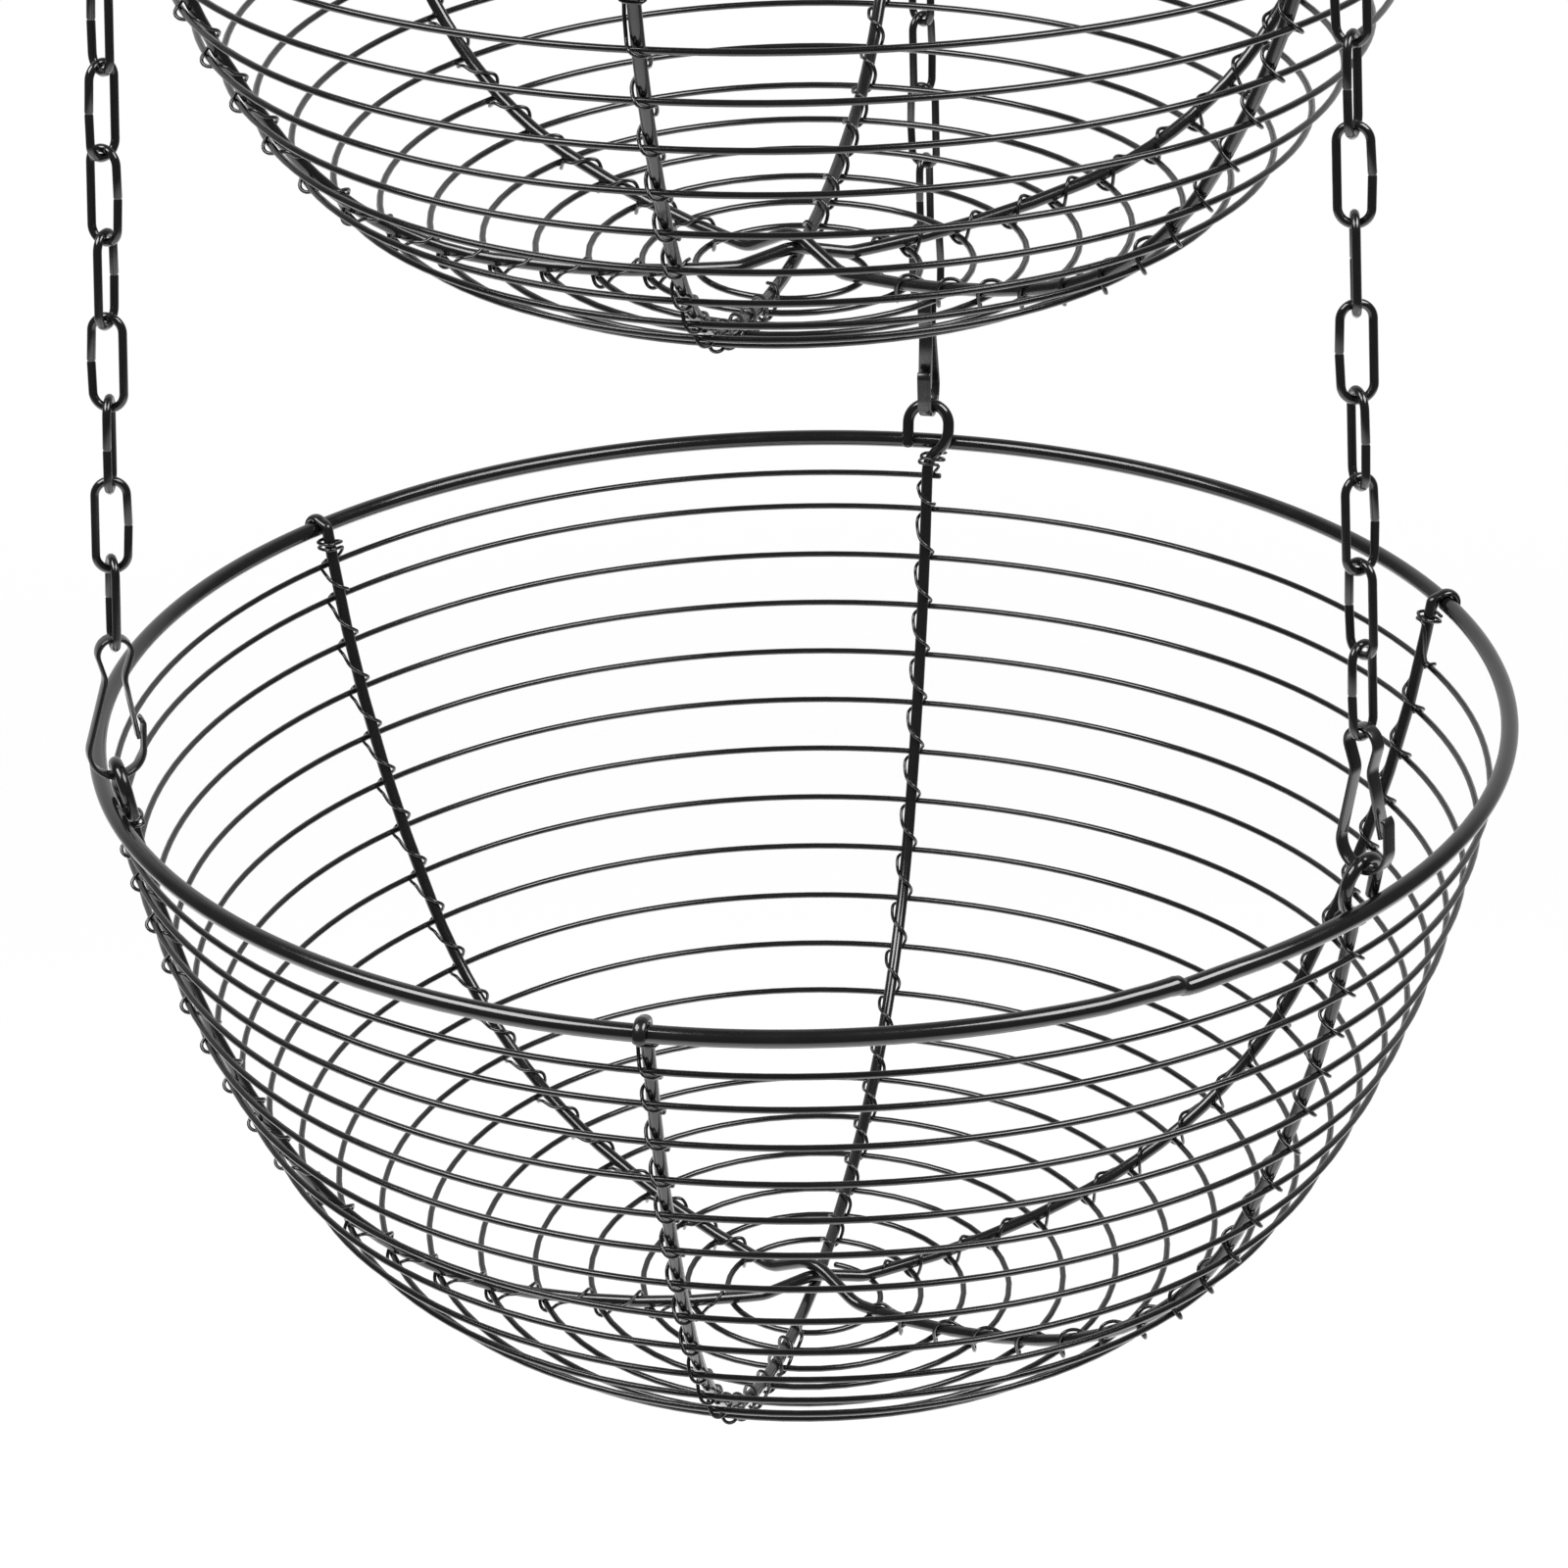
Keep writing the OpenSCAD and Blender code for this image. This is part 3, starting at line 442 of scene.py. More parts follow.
def wire_tree():
    """Round wire along a path of edges. The path's own thickness says how full the wire is at each point."""
    tree, given = new_tree("Wire along a path", [("Path", "Geometry"), ("Diameter", "Float"), ("Sides", "Int"),
                                                 ("Steps", "Int"), ("Coating", "Material")])
    path = add(tree, "GeometryNodeMeshToCurve", {"Mesh": given["Path"]})
    rounded = add(tree, "GeometryNodeCurveSplineType", {"Curve": path.outputs[0]}, spline_type="CATMULL_ROM")
    stepped = add(tree, "GeometryNodeSetSplineResolution",
                  {"Geometry": rounded.outputs[0], "Resolution": given["Steps"]})
    half = add(tree, "ShaderNodeMath", {0: given["Diameter"], 1: 2.0}, operation="DIVIDE")
    section = add(tree, "GeometryNodeCurvePrimitiveCircle", {"Resolution": given["Sides"], "Radius": half.outputs[0]})
    full = add(tree, "GeometryNodeInputNamedAttribute", {"Name": "thickness"}, data_type="FLOAT")
    tube = add(tree, "GeometryNodeCurveToMesh",
               {"Curve": stepped.outputs[0], "Profile Curve": section.outputs[0], "Scale": full.outputs[0],
                "Fill Caps": True})
    return finish_tree(tree, tube.outputs[0], given["Coating"])


def chain_tree():
    """A straight chain: one link set at each step of a line, each turned on from the last."""
    tree, given = new_tree("Chain of links", [("Geometry", "Geometry"), ("Link", "Object"), ("Count", "Int"),
                                              ("Foot", "Vector"), ("Step", "Vector"), ("Side", "Vector"),
                                              ("First turn", "Float"), ("Turn", "Float"), ("Coating", "Material")])
    line = add(tree, "GeometryNodeMeshLine",
               {"Count": given["Count"], "Start Location": given["Foot"], "Offset": given["Step"]}, mode="OFFSET")
    link = add(tree, "GeometryNodeObjectInfo", {"Object": given["Link"]}, transform_space="ORIGINAL")
    upright = add(tree, "FunctionNodeAlignRotationToVector", {"Vector": given["Step"]}, axis="Z")
    squared = add(tree, "FunctionNodeAlignRotationToVector",
                  {"Rotation": upright.outputs[0], "Vector": given["Side"]}, axis="X", pivot_axis="Z")
    index = add(tree, "GeometryNodeInputIndex")
    turned = add(tree, "ShaderNodeMath", {0: index.outputs[0], 1: given["Turn"], 2: given["First turn"]},
                 operation="MULTIPLY_ADD")
    about = add(tree, "FunctionNodeAxisAngleToRotation", {"Axis": (0, 0, 1), "Angle": turned.outputs[0]})
    rotation = add(tree, "FunctionNodeRotateRotation",
                   {"Rotation": squared.outputs[0], "Rotate By": about.outputs[0]}, rotation_space="LOCAL")
    links = add(tree, "GeometryNodeInstanceOnPoints",
                {"Points": line.outputs[0], "Instance": link.outputs["Geometry"], "Rotation": rotation.outputs[0]})
    return finish_tree(tree, links.outputs[0], given["Coating"])


def evaluated(source, tree, values, name):
    """Runs a tree on an object and returns the result as a plain mesh object, without the source."""
    modifier = source.modifiers.new("build", "NODES")
    modifier.node_group = tree
    for item in tree.interface.items_tree:
        if item.in_out == "INPUT" and item.name in values:
            modifier[item.identifier] = values[item.name]
    graph = bpy.context.evaluated_depsgraph_get()
    mesh = bpy.data.meshes.new_from_object(source.evaluated_get(graph), depsgraph=graph)
    source.modifiers.remove(modifier)
    bpy.data.objects.remove(source)
    mesh.name = name
    return show(name, mesh)


def show(name, mesh):
    """A new object with that mesh, in the scene."""
    piece = bpy.data.objects.new(name, mesh)
    bpy.context.scene.collection.objects.link(piece)
    return piece


def path_object(paths):
    """Paths as one object of edges. A path is (points, thickness of each point or None, closed)."""
    points, edges, thick = [], [], []
    for line, fullness, closed in paths:
        first = len(points)
        points += line
        edges += [(first + i, first + i + 1) for i in range(len(line) - 1)]
        if closed:
            edges.append((len(points) - 1, first))
        thick += fullness or [1.0] * len(line)
    mesh = bpy.data.meshes.new("path")
    mesh.from_pydata(points, edges, [])
    mesh.attributes.new("thickness", "FLOAT", "POINT").data.foreach_set("value", thick)
    return show("path", mesh)


def cut_ends(points, diameter, start=True, end=True):
    """A wire's path with its cut ends slightly rounded, as the enamel rounds them, and its thickness."""
    round_off = ((0, 0.55), (0.07, 0.8), (0.16, 0.94), (0.3, 1.0))
    line, thick = list(points), [1.0] * len(points)
    for wanted, at_start in ((start, True), (end, False)):
        if not wanted:
            continue
        if not at_start:
            line.reverse(), thick.reverse()
        tip, along = line[0], (line[1] - line[0])
        reach = min(along.length * 0.95, 0.3 * diameter) / 0.3
        head = [(tip + along.normalized() * reach * share, full) for share, full in round_off]
        line[:1], thick[:1] = [p for p, _ in head], [full for _, full in head]
        if not at_start:
            line.reverse(), thick.reverse()
    return line, thick, False


def make_wire(name, body, slot, nodes, paths, diameter, sides=12, steps=1):
    """Builds wire pieces along the paths as one mesh, on its body and in place of its nodes."""
    piece = evaluated(path_object(paths), tree_named(wire_tree),
                      {"Diameter": diameter, "Sides": sides, "Steps": steps, "Coating": coating(slot)}, name)
    return settle(piece, body, nodes)


def flatten_hook(piece, bowl, n):
    """Presses rib n's hooked end flat over the rim, as it is before the enamel: about half its thickness."""
    inner, share = bowl.wires.rim / 2 + 0.02 * MM, 0.56
    loose = RIM_GAP
    out = radial(EYE_STEP * n + pi)
    back = bowl.place.inverted()
    for v in piece.data.vertices:
        p = back @ v.co
        along = p.dot(out)
        if along < bowl.rim_radius - 2 * bowl.rim_to_rib:
            continue
        x, z = along - bowl.rim_radius, p.z
        far, turned = sqrt(x * x + z * z), degrees(atan2(z, x))
        if turned < -60 or far > bowl.rim_to_rib + bowl.wires.rib:
            continue
        press = min(max((168 - turned) / 50, 0), 1)
        near = inner + (far - bowl.wires.rim / 2 - loose) * share
        wanted = far + (near - far) * press * press * (3 - 2 * press)
        p += out * (x * (wanted / far - 1)) + Z * (z * (wanted / far - 1))
        v.co = bowl.place @ p


def settle(piece, body, nodes):
    """Puts a finished piece on its body, in place of the nodes it stands for."""
    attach(piece, body)
    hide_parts(*nodes)
    return piece


trees = {}


def tree_named(maker):
    """One tree of each kind, built when it is first needed."""
    if maker not in trees:
        trees[maker] = maker()
    return trees[maker]


# Materials

# What each slot is: the colour's name in Finish, the roughness added, and the size of the enamel's unevenness
ENAMELS = {
    "rim_wire": ("Gloss black enamel on rim wire", "wire", 0.0, 2.6),
    "rib_wire": ("Gloss black enamel on rib wire", "wire", 0.03, 2.0),
    "spiral_wire": ("Gloss black enamel on spiral wire", "wire", 0.02, 1.6),
    "binding_wire": ("Gloss black enamel on binding wire", "wire", 0.08, 1.0),
    "chain_wire": ("Gloss black enamel on chain wire", "chain", 0.0, 1.6),
    "clip_strip": ("Gloss black enamel on spring strip", "clip", 0.06, 1.4),
    "fittings": ("Gloss black enamel on hook and ring", "chain", 0.0, 2.4),
}


def coating(slot):
    """The material of a slot: black stoving enamel dipped over drawn steel wire. It is a hard clear-surfaced
    gloss with a faint ripple where the paint ran and levelled, a little duller in places."""
    name, shade, duller, ripple = ENAMELS[slot]
    if name in bpy.data.materials:
        return bpy.data.materials[name]
    finish = bpy.context.scene.basket.finish
    material = bpy.data.materials.new(name)
    material.use_nodes = True
    tree = material.node_tree
    tree.nodes.clear()
    where = add(tree, "ShaderNodeTexCoord").outputs["Object"]
    runs = add(tree, "ShaderNodeTexNoise", {"Vector": where, "Scale": 1 / (ripple * 3 * MM), "Detail": 3.0})
    fine = add(tree, "ShaderNodeTexNoise", {"Vector": where, "Scale": 1 / (ripple * MM), "Detail": 2.0})
    gloss = add(tree, "ShaderNodeMapRange",
                {"Value": runs.outputs[0], "From Min": 0.3, "From Max": 0.7,
                 "To Min": finish.roughness + duller - 0.03, "To Max": finish.roughness + duller + 0.08})
    deep = getattr(finish, shade)[:]
    worn = [c * 1.4 + 0.0006 for c in deep]
    tone = add(tree, "ShaderNodeMix", {"Factor": runs.outputs[0], 6: (*deep, 1), 7: (*worn, 1)}, data_type="RGBA")
    bump = add(tree, "ShaderNodeBump", {"Height": fine.outputs[0], "Strength": 0.25, "Distance": 0.04 * MM})
    shader = add(tree, "ShaderNodeBsdfPrincipled",
                 {"Base Color": tone.outputs[2], "Roughness": gloss.outputs[0], "Normal": bump.outputs[0],
                  "IOR": 1.52, "Metallic": 0.0, "Coat Weight": 1.0, "Coat IOR": 1.52, "Coat Roughness": 0.06,
                  "Coat Normal": bump.outputs[0]})
    add(tree, "ShaderNodeOutputMaterial", {"Surface": shader.outputs[0]})
    return material


# Operators


class Maker(bpy.types.Operator):
    """Builds a group of like pieces"""
    bl_options = {"REGISTER", "UNDO"}

    def execute(self, context):
        self.make(context.scene.basket)
        return {"FINISHED"}


class BASKET_OT_rims(Maker):
    """Builds the rim ring of each bowl, with its weld"""
    bl_idname = "basket.rims"
    bl_label = "Rims"

    def make(self, basket):
        for tier in TIERS:
            bowl = Bowl(basket, tier)
            points, thick = bowl.rim()
            make_wire(f"{tier}_rim_ring", f"{tier}_tier", "rim_wire", [f"{tier}_rim"], [(points, thick, True)],
                      basket.wires.rim, sides=20)


class BASKET_OT_ribs(Maker):
    """Builds the three crossed ribs of each bowl, with their eyes and hooked ends"""
    bl_idname = "basket.ribs"
    bl_label = "Ribs"

    def make(self, basket):
        for tier in TIERS:
            bowl = Bowl(basket, tier)
            for n, letter in enumerate("abc"):
                piece = make_wire(f"{tier}_rib_{letter}_wire", f"{tier}_tier", "rib_wire",
                                  [f"{tier}_rib_{letter}"], [cut_ends(bowl.rib(n), basket.wires.rib)],
                                  basket.wires.rib, sides=16)
                flatten_hook(piece, bowl, n)


class BASKET_OT_spirals(Maker):
    """Builds the spiral of thin wire round each bowl"""
    bl_idname = "basket.spirals"
    bl_label = "Spirals"

    def make(self, basket):
        for tier in TIERS:
            make_wire(f"{tier}_spiral_wire", f"{tier}_tier", "spiral_wire", [f"{tier}_spiral"],
                      [cut_ends(Bowl(basket, tier).spiral(), basket.wires.spiral)], basket.wires.spiral, sides=10)


class BASKET_OT_bindings(Maker):
    """Builds the fine wire that ties the spiral to each rib end"""
    bl_idname = "basket.bindings"
    bl_label = "Bindings"
    stop: FloatProperty(name="Stop", description="Radius from the bowl's centre at which a binding ends",
                        default=20 * MM, unit="LENGTH")

    def make(self, basket):
        wires = basket.wires
        for tier in TIERS:
            bowl = Bowl(basket, tier)
            paths = [cut_ends(self.route(bowl, k, wires), wires.binding) for k in range(6)]
            make_wire(f"{tier}_bindings", f"{tier}_tier", "binding_wire",
                      [f"{tier}_binding_{k + 1}" for k in range(6)], paths, wires.binding, sides=7, steps=4)

    def route(self, bowl, k, wires):
        """The binding's line down rib end k: two tight turns, then one turn at each ring."""
        gap = 0.15 * MM
        half = (wires.rib + wires.binding) / 2 + gap
        over = bowl.rib_to_spiral + (wires.spiral + wires.binding) / 2 + gap
        swing = (EYE_RADIUS - JOINT_RUN * sin(EYE_SWING)) / (2 * (1 - cos(EYE_SWING)))
        points = []
        for i in range(2):
            s = (2.4 + 1.3 * i) * MM
            shift, wide = 0, 1
            if k % 2 == 0:
                lean = asin(max(0, RIB_TOP_RUN - JOINT_RUN - s) / swing)
                shift, wide = -swing * (1 - cos(lean)), 1 / cos(lean)
            for down, side, out in ((0, -1, 1), (0.325, 1, 1), (0.65, 1, -1), (0.975, -1, -1)):
                points.append(bowl.at(k, s + down * MM, shift + side * half * wide, out * half))
        turn = 0
        while True:
            s, pitch = bowl.crossing(k, turn), bowl.crossing(k, turn + 1) - bowl.crossing(k, turn)
            if bowl.profile(s)[0] <= self.stop:
                break
            for down, side, out in ((-1.7 * MM, -1.95, 0.3 * MM), (-0.6 * MM, -0.8, over), (0.7 * MM, 0.9, over),
                                    (2.1 * MM, 2.1, 0.7 * MM), (0.42 * pitch, 1.85, -0.3 * MM),
                                    (0.6 * pitch, 0.7, -half), (0.74 * pitch, -1.2, -half)):
                points.append(bowl.at(k, s + down, side * MM, out))
            turn += 1
        return [bowl.place @ p for p in points]


class Rig:
    """Places of the chains and clips, by the same rules as the part's source."""

    def __init__(self, basket):
        chain, clip, wires = basket.chain, basket.clip, basket.wires
        self.upper, self.lower = Bowl(basket, "upper"), Bowl(basket, "lower")
        self.end_radius = (chain.link_width - wires.link) / 2
        self.span = chain.link_length - wires.link
        self.cross = wires.link + BEARING_GAP
        self.pitch = self.span - self.cross

        def sag(inner):
            return inner - sqrt(inner ** 2 - (clip.width / 2) ** 2)

        link_seat = wires.link / 2 + sag(self.end_radius - wires.link / 2) + BEARING_GAP
        eye_seat = wires.rib / 2 + sag(EYE_RADIUS - wires.rib / 2) + BEARING_GAP
        bulb_inner = clip.bulb - clip.thickness / 2
        self.eye_offset = bulb_inner - eye_seat
        self.chain_offset = clip.span + clip.crown - clip.thickness / 2 - link_seat
        self.side_offset = bulb_inner - link_seat
        self.ring_centre = middle("top_ring")
        ring = (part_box("top_ring")[1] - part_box("top_ring")[0])[0] / 2 - wires.ring / 2
        self.ring_radius = ring
        self.ring_places = [radians(a) for a in (-90, -116, -64)]

    def azimuth(self, k):
        return EYE_AZIMUTH + EYE_STEP * k

    def anchor(self, k):
        a = self.ring_places[k]
        return self.ring_centre + self.ring_radius * Vector((cos(a), 0, sin(a)))

    def upper_clip(self, k):
        radius, height = self.upper.eye_top
        return self.upper.centre + radius * radial(self.azimuth(k)) + (height + self.eye_offset) * Z

    def upper_axis(self, k):
        return (self.anchor(k) - self.upper_clip(k)).normalized()

    def clip_side(self, k):
        return self.upper_axis(k).cross(radial(self.azimuth(k))).normalized()

    def top_link(self, k, basket):
        """Foot and axis of the link that hangs in the side of an upper clip and leans over the rim."""
        out_way = radial(self.azimuth(k))
        apex = self.upper_clip(k) + self.side_offset * (sin(pi / 4) * out_way - cos(pi / 4) * Z)
        out = self.upper.eye_top[0] + self.side_offset * sin(pi / 4) - self.upper.rim_radius
        up = EYE_HEIGHT + self.eye_offset - self.side_offset * cos(pi / 4)
        clear = (basket.wires.rim + basket.wires.link) / 2 + BEARING_GAP
        lean = asin(clear / sqrt(out ** 2 + up ** 2)) - atan(out / up)
        axis = cos(lean) * Z - sin(lean) * out_way
        return apex - self.span * axis, axis

    def lower_line(self, k, basket):
        """Place of the lower clip, axis of the lower chain."""
        radius, height = self.lower.eye_top
        eye = self.lower.centre + radius * radial(self.azimuth(k)) + height * Z
        axis = (self.top_link(k, basket)[0] - eye).normalized()
        return eye + self.eye_offset * axis, axis


class BASKET_OT_chains(Maker):
    """Builds the upper and lower chains, link by link"""
    bl_idname = "basket.chains"
    bl_label = "Chains"

    def make(self, basket):
        rig = Rig(basket)
        self.link = self.one_link(rig, basket.wires.link)
        for k in LEGS:
            axis = rig.upper_axis(k)
            side = rig.clip_side(k)
            foot = rig.upper_clip(k) + rig.chain_offset * axis
            a = rig.ring_places[k]
            hang = Vector((-sin(a), 0, cos(a))).cross(axis).normalized()
            full = degrees(atan2(side.cross(hang).dot(axis), side.dot(hang)))
            crossings = basket.chain.upper_links - 1
            spare = self.fold(self.fold(full - 90 * crossings, 180) + 270, 180) - 90
            self.row(f"upper_chain_{k + 1}", "upper_tier", basket.chain.upper_links, foot, axis * rig.pitch, side, 0,
                     radians(90 + spare / crossings))
            out_side = tangential(rig.azimuth(k))
            foot, axis = rig.top_link(k, basket)
            self.row(f"top_link_{k + 1}", "upper_tier", 1, foot, axis * rig.pitch, out_side, 0, 0)
            place_of_clip, axis = rig.lower_line(k, basket)
            links = basket.chain.lower_links
            turn = radians(-90 - (90 / (links - 1) if links % 2 == 0 else 0))
            groups = ((f"end_link_{k + 1}", "lower_tier", 1, 1), (f"swivel_link_{k + 1}", f"swivel_{k + 1}", 2, 1),
                      (f"lower_chain_{k + 1}", f"chain_{k + 1}", 3, links - 4),
                      (f"pivot_link_{k + 1}", f"pivot_{k + 1}", links - 1, 1))
            for node, body, first, count in groups:
                reach = rig.chain_offset + (first - 1) * rig.pitch - (SWAY_ROOM if first > 1 else 0)
                foot = place_of_clip + reach * axis
                self.row(node, body, count, foot, axis * rig.pitch, out_side, turn * (first - 1), turn)
        bpy.data.objects.remove(self.link)

    def fold(self, value, whole):
        """The remainder with the value's own sign, as the part's source takes it."""
        return value - whole * int(value / whole)

    def one_link(self, rig, diameter):
        """A link standing on its foot, its sides towards +X and -X. The wire's two ends butt at the middle
        of one side, which bends out a little there."""
        run = rig.span - 2 * rig.end_radius
        start = Matrix.Translation((-rig.end_radius, 0, rig.end_radius + run / 2))
        points = bent(start, [(0, 0, run / 2), (0, rig.end_radius, pi), (0, 0, run), (0, rig.end_radius, pi),
                              (0, 0, run / 2)], fine=10)
        line, thick = [], []
        for p in points:
            line.append(p), thick.append(1.0)
        tip = 0.28 * MM
        for sign, index in ((1, 0), (-1, -1)):
            line[index] = Vector((-rig.end_radius - 0.22 * MM, 0, rig.end_radius + run / 2 + sign * 0.03 * MM))
            thick[index] = 0.86
        line.insert(1, line[0] + Vector((0.01 * MM, 0, tip))), thick.insert(1, 1.0)
        line.insert(-1, line[-1] - Vector((-0.01 * MM, 0, tip))), thick.insert(-1, 1.0)
        return evaluated(path_object([(line, thick, False)]), tree_named(wire_tree),
                         {"Diameter": diameter, "Sides": 10, "Steps": 1, "Coating": coating("chain_wire")}, "link")

    def row(self, node, body, count, foot, step, side, first_turn, turn):
        source = show("row", bpy.data.meshes.new("row"))
        piece = evaluated(source, tree_named(chain_tree),
                          {"Link": self.link, "Count": count, "Foot": foot[:], "Step": step[:], "Side": side[:],
                           "First turn": first_turn, "Turn": turn, "Coating": coating("chain_wire")},
                          f"{node}_chain")
        settle(piece, body, [node])


class BASKET_OT_clips(Maker):
    """Builds the sprung strip clips at the eyes of both bowls"""
    bl_idname = "basket.clips"
    bl_label = "Clips"

    def make(self, basket):
        rig = Rig(basket)
        gate_sides = (1, 1, -1)
        for k in LEGS:
            turn = Matrix.Rotation(pi if gate_sides[k] > 0 else 0, 4, "Z")
            y, z = rig.clip_side(k), rig.upper_axis(k)
            self.clip(basket.clip, f"upper_clip_{k + 1}", "upper_tier",
                      place(rig.upper_clip(k), y.cross(z), y, z) @ turn)
            where, z = rig.lower_line(k, basket)
            y = tangential(rig.azimuth(k))
            self.clip(basket.clip, f"lower_clip_{k + 1}", "lower_tier", place(where, y.cross(z), y, z) @ turn)

    def trace(self, at, steps, fine=3):
        """Points (x, z, heading) along a strip; a step is (bend radius, signed angle) or (0, length)."""
        points = []
        for radius, amount in steps:
            count = 1 if radius == 0 else max(2, ceil(abs(degrees(amount)) / fine))
            x, z, heading = at
            for j in range(1, count + 1):
                share = amount * j / count
                if radius == 0:
                    at = (x + share * cos(heading), z + share * sin(heading), heading)
                else:
                    side = 1 if amount > 0 else -1
                    turned = heading + share
                    at = (x + side * radius * (sin(turned) - sin(heading)),
                          z - side * radius * (cos(turned) - cos(heading)), turned)
                points.append(at)
        return points

    def clip(self, sizes, node, body, where):
        crown_slope, bulb_slope, gate_slope = radians(17), radians(14), radians(11)
        across = (-sizes.bulb * cos(bulb_slope) + sizes.crown * cos(crown_slope)
                  - sizes.neck * (cos(bulb_slope) - cos(crown_slope)))
        down = (sizes.span - sizes.crown * sin(crown_slope) - sizes.bulb * sin(bulb_slope)
                - sizes.neck * (sin(crown_slope) + sin(bulb_slope)))
        det = sin(crown_slope + bulb_slope)
        run_up = (across * cos(bulb_slope) + down * sin(bulb_slope)) / det
        run_down = (down * sin(crown_slope) - across * cos(crown_slope)) / det
        gate_top = (sizes.span - sizes.crown * sin(crown_slope) - run_up * cos(crown_slope)
                    - sizes.neck * (sin(crown_slope) + sin(gate_slope)))
        gate_run = (gate_top - 2.6 * MM) / cos(gate_slope)
        latch = [(0, 5.3 * MM), (1.6 * MM, pi / 4), (0, 0.35 * MM)]
        hook = self.trace((sizes.bulb, 0, pi / 2), latch)
        x, z, heading = hook[-1]
        start = (x, z, heading - pi)
        steps = [(0, 0.35 * MM), (1.6 * MM, -pi / 4), (0, 5.3 * MM), (sizes.bulb, -pi - bulb_slope), (0, run_down),
                 (sizes.neck, crown_slope + bulb_slope), (0, run_up), (sizes.crown, -pi - 2 * crown_slope),
                 (0, run_up), (sizes.neck, crown_slope + gate_slope), (0, gate_run)]
        points = [start] + self.trace(start, steps)
        section = self.section(sizes.width, sizes.thickness)
        verts, faces = [], []
        for x, z, heading in self.eased(points):
            for across, up in section:
                verts.append(Vector((x - up * sin(heading), across, z + up * cos(heading))))
        sides, rows = len(section), len(verts) // len(section)
        for i in range(rows - 1):
            for j in range(sides):
                a, b = i * sides + j, i * sides + (j + 1) % sides
                faces.append((a, b, b + sides, a + sides))
        faces.append(tuple(range(sides - 1, -1, -1)))
        faces.append(tuple(range((rows - 1) * sides, rows * sides)))
        mesh = bpy.data.meshes.new(node)
        mesh.from_pydata([where @ v for v in verts], [], faces)
        mesh.polygons.foreach_set("use_smooth", [True] * len(mesh.polygons))
        mesh.update()
        piece = show(f"{node}_strip", mesh)
        piece.data.materials.append(coating("clip_strip"))
        settle(piece, body, [node])

    def eased(self, points):
        return points

    def section(self, width, thickness):
        """The strip's section, its edges rolled round."""
        rounding = 0.3 * MM
        corners = []
        for sx, sz, first in ((1, 1, 0), (-1, 1, 90), (-1, -1, 180), (1, -1, 270)):
            for i in range(4):
                a = radians(first + 30 * i)
                corners.append((sx * (width / 2 - rounding) + rounding * cos(a),
                                sz * (thickness / 2 - rounding) + rounding * sin(a)))
        return corners


class BASKET_OT_fittings(Maker):
    """Builds the S-hook, the connecting link and the top ring"""
    bl_idname = "basket.fittings"
    bl_label = "Hook, link and ring"

    def make(self, basket):
        wires = basket.wires
        upper, lower, wrap = 10 * MM, 8 * MM, radians(240)
        centre = place(Vector((0, 0, wires.hook / 2 - 2 * upper)), Z, -Y, X)
        up = bent(centre, [(0, upper, wrap)])
        down = bent(centre @ Matrix.Rotation(pi, 4, "Y"), [(0, 0, JOINT_RUN), (0, lower, wrap)])
        make_wire("s_hook_wire", "hook", "fittings", ["s_hook"], [cut_ends(down[::-1] + up[1:], wires.hook)],
                  wires.hook, sides=20)
        low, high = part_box("connecting_link")
        span = high.z - low.z - wires.joiner
        end = (high.y - low.y - wires.joiner) / 2
        foot = Vector((0, 0, low.z + wires.joiner / 2))
        run = span - 2 * end
        oval = bent(place(foot, Y, -X, Z) @ Matrix.Translation((-end, 0, end)),
                    [(0, 0, run), (0, end, pi), (0, 0, run), (0, end, pi)])
        make_wire("connecting_link_wire", "joiner", "fittings", ["connecting_link"], [(oval[:-1], None, True)],
                  wires.joiner, sides=18)
        rig = Rig(basket)
        ring = [rig.ring_centre + rig.ring_radius * Vector((cos(a), 0, sin(a)))
                for a in (2 * pi * i / 96 for i in range(96))]
        make_wire("top_ring_wire", "upper_tier", "fittings", ["top_ring"], [(ring, None, True)], wires.ring, sides=20)


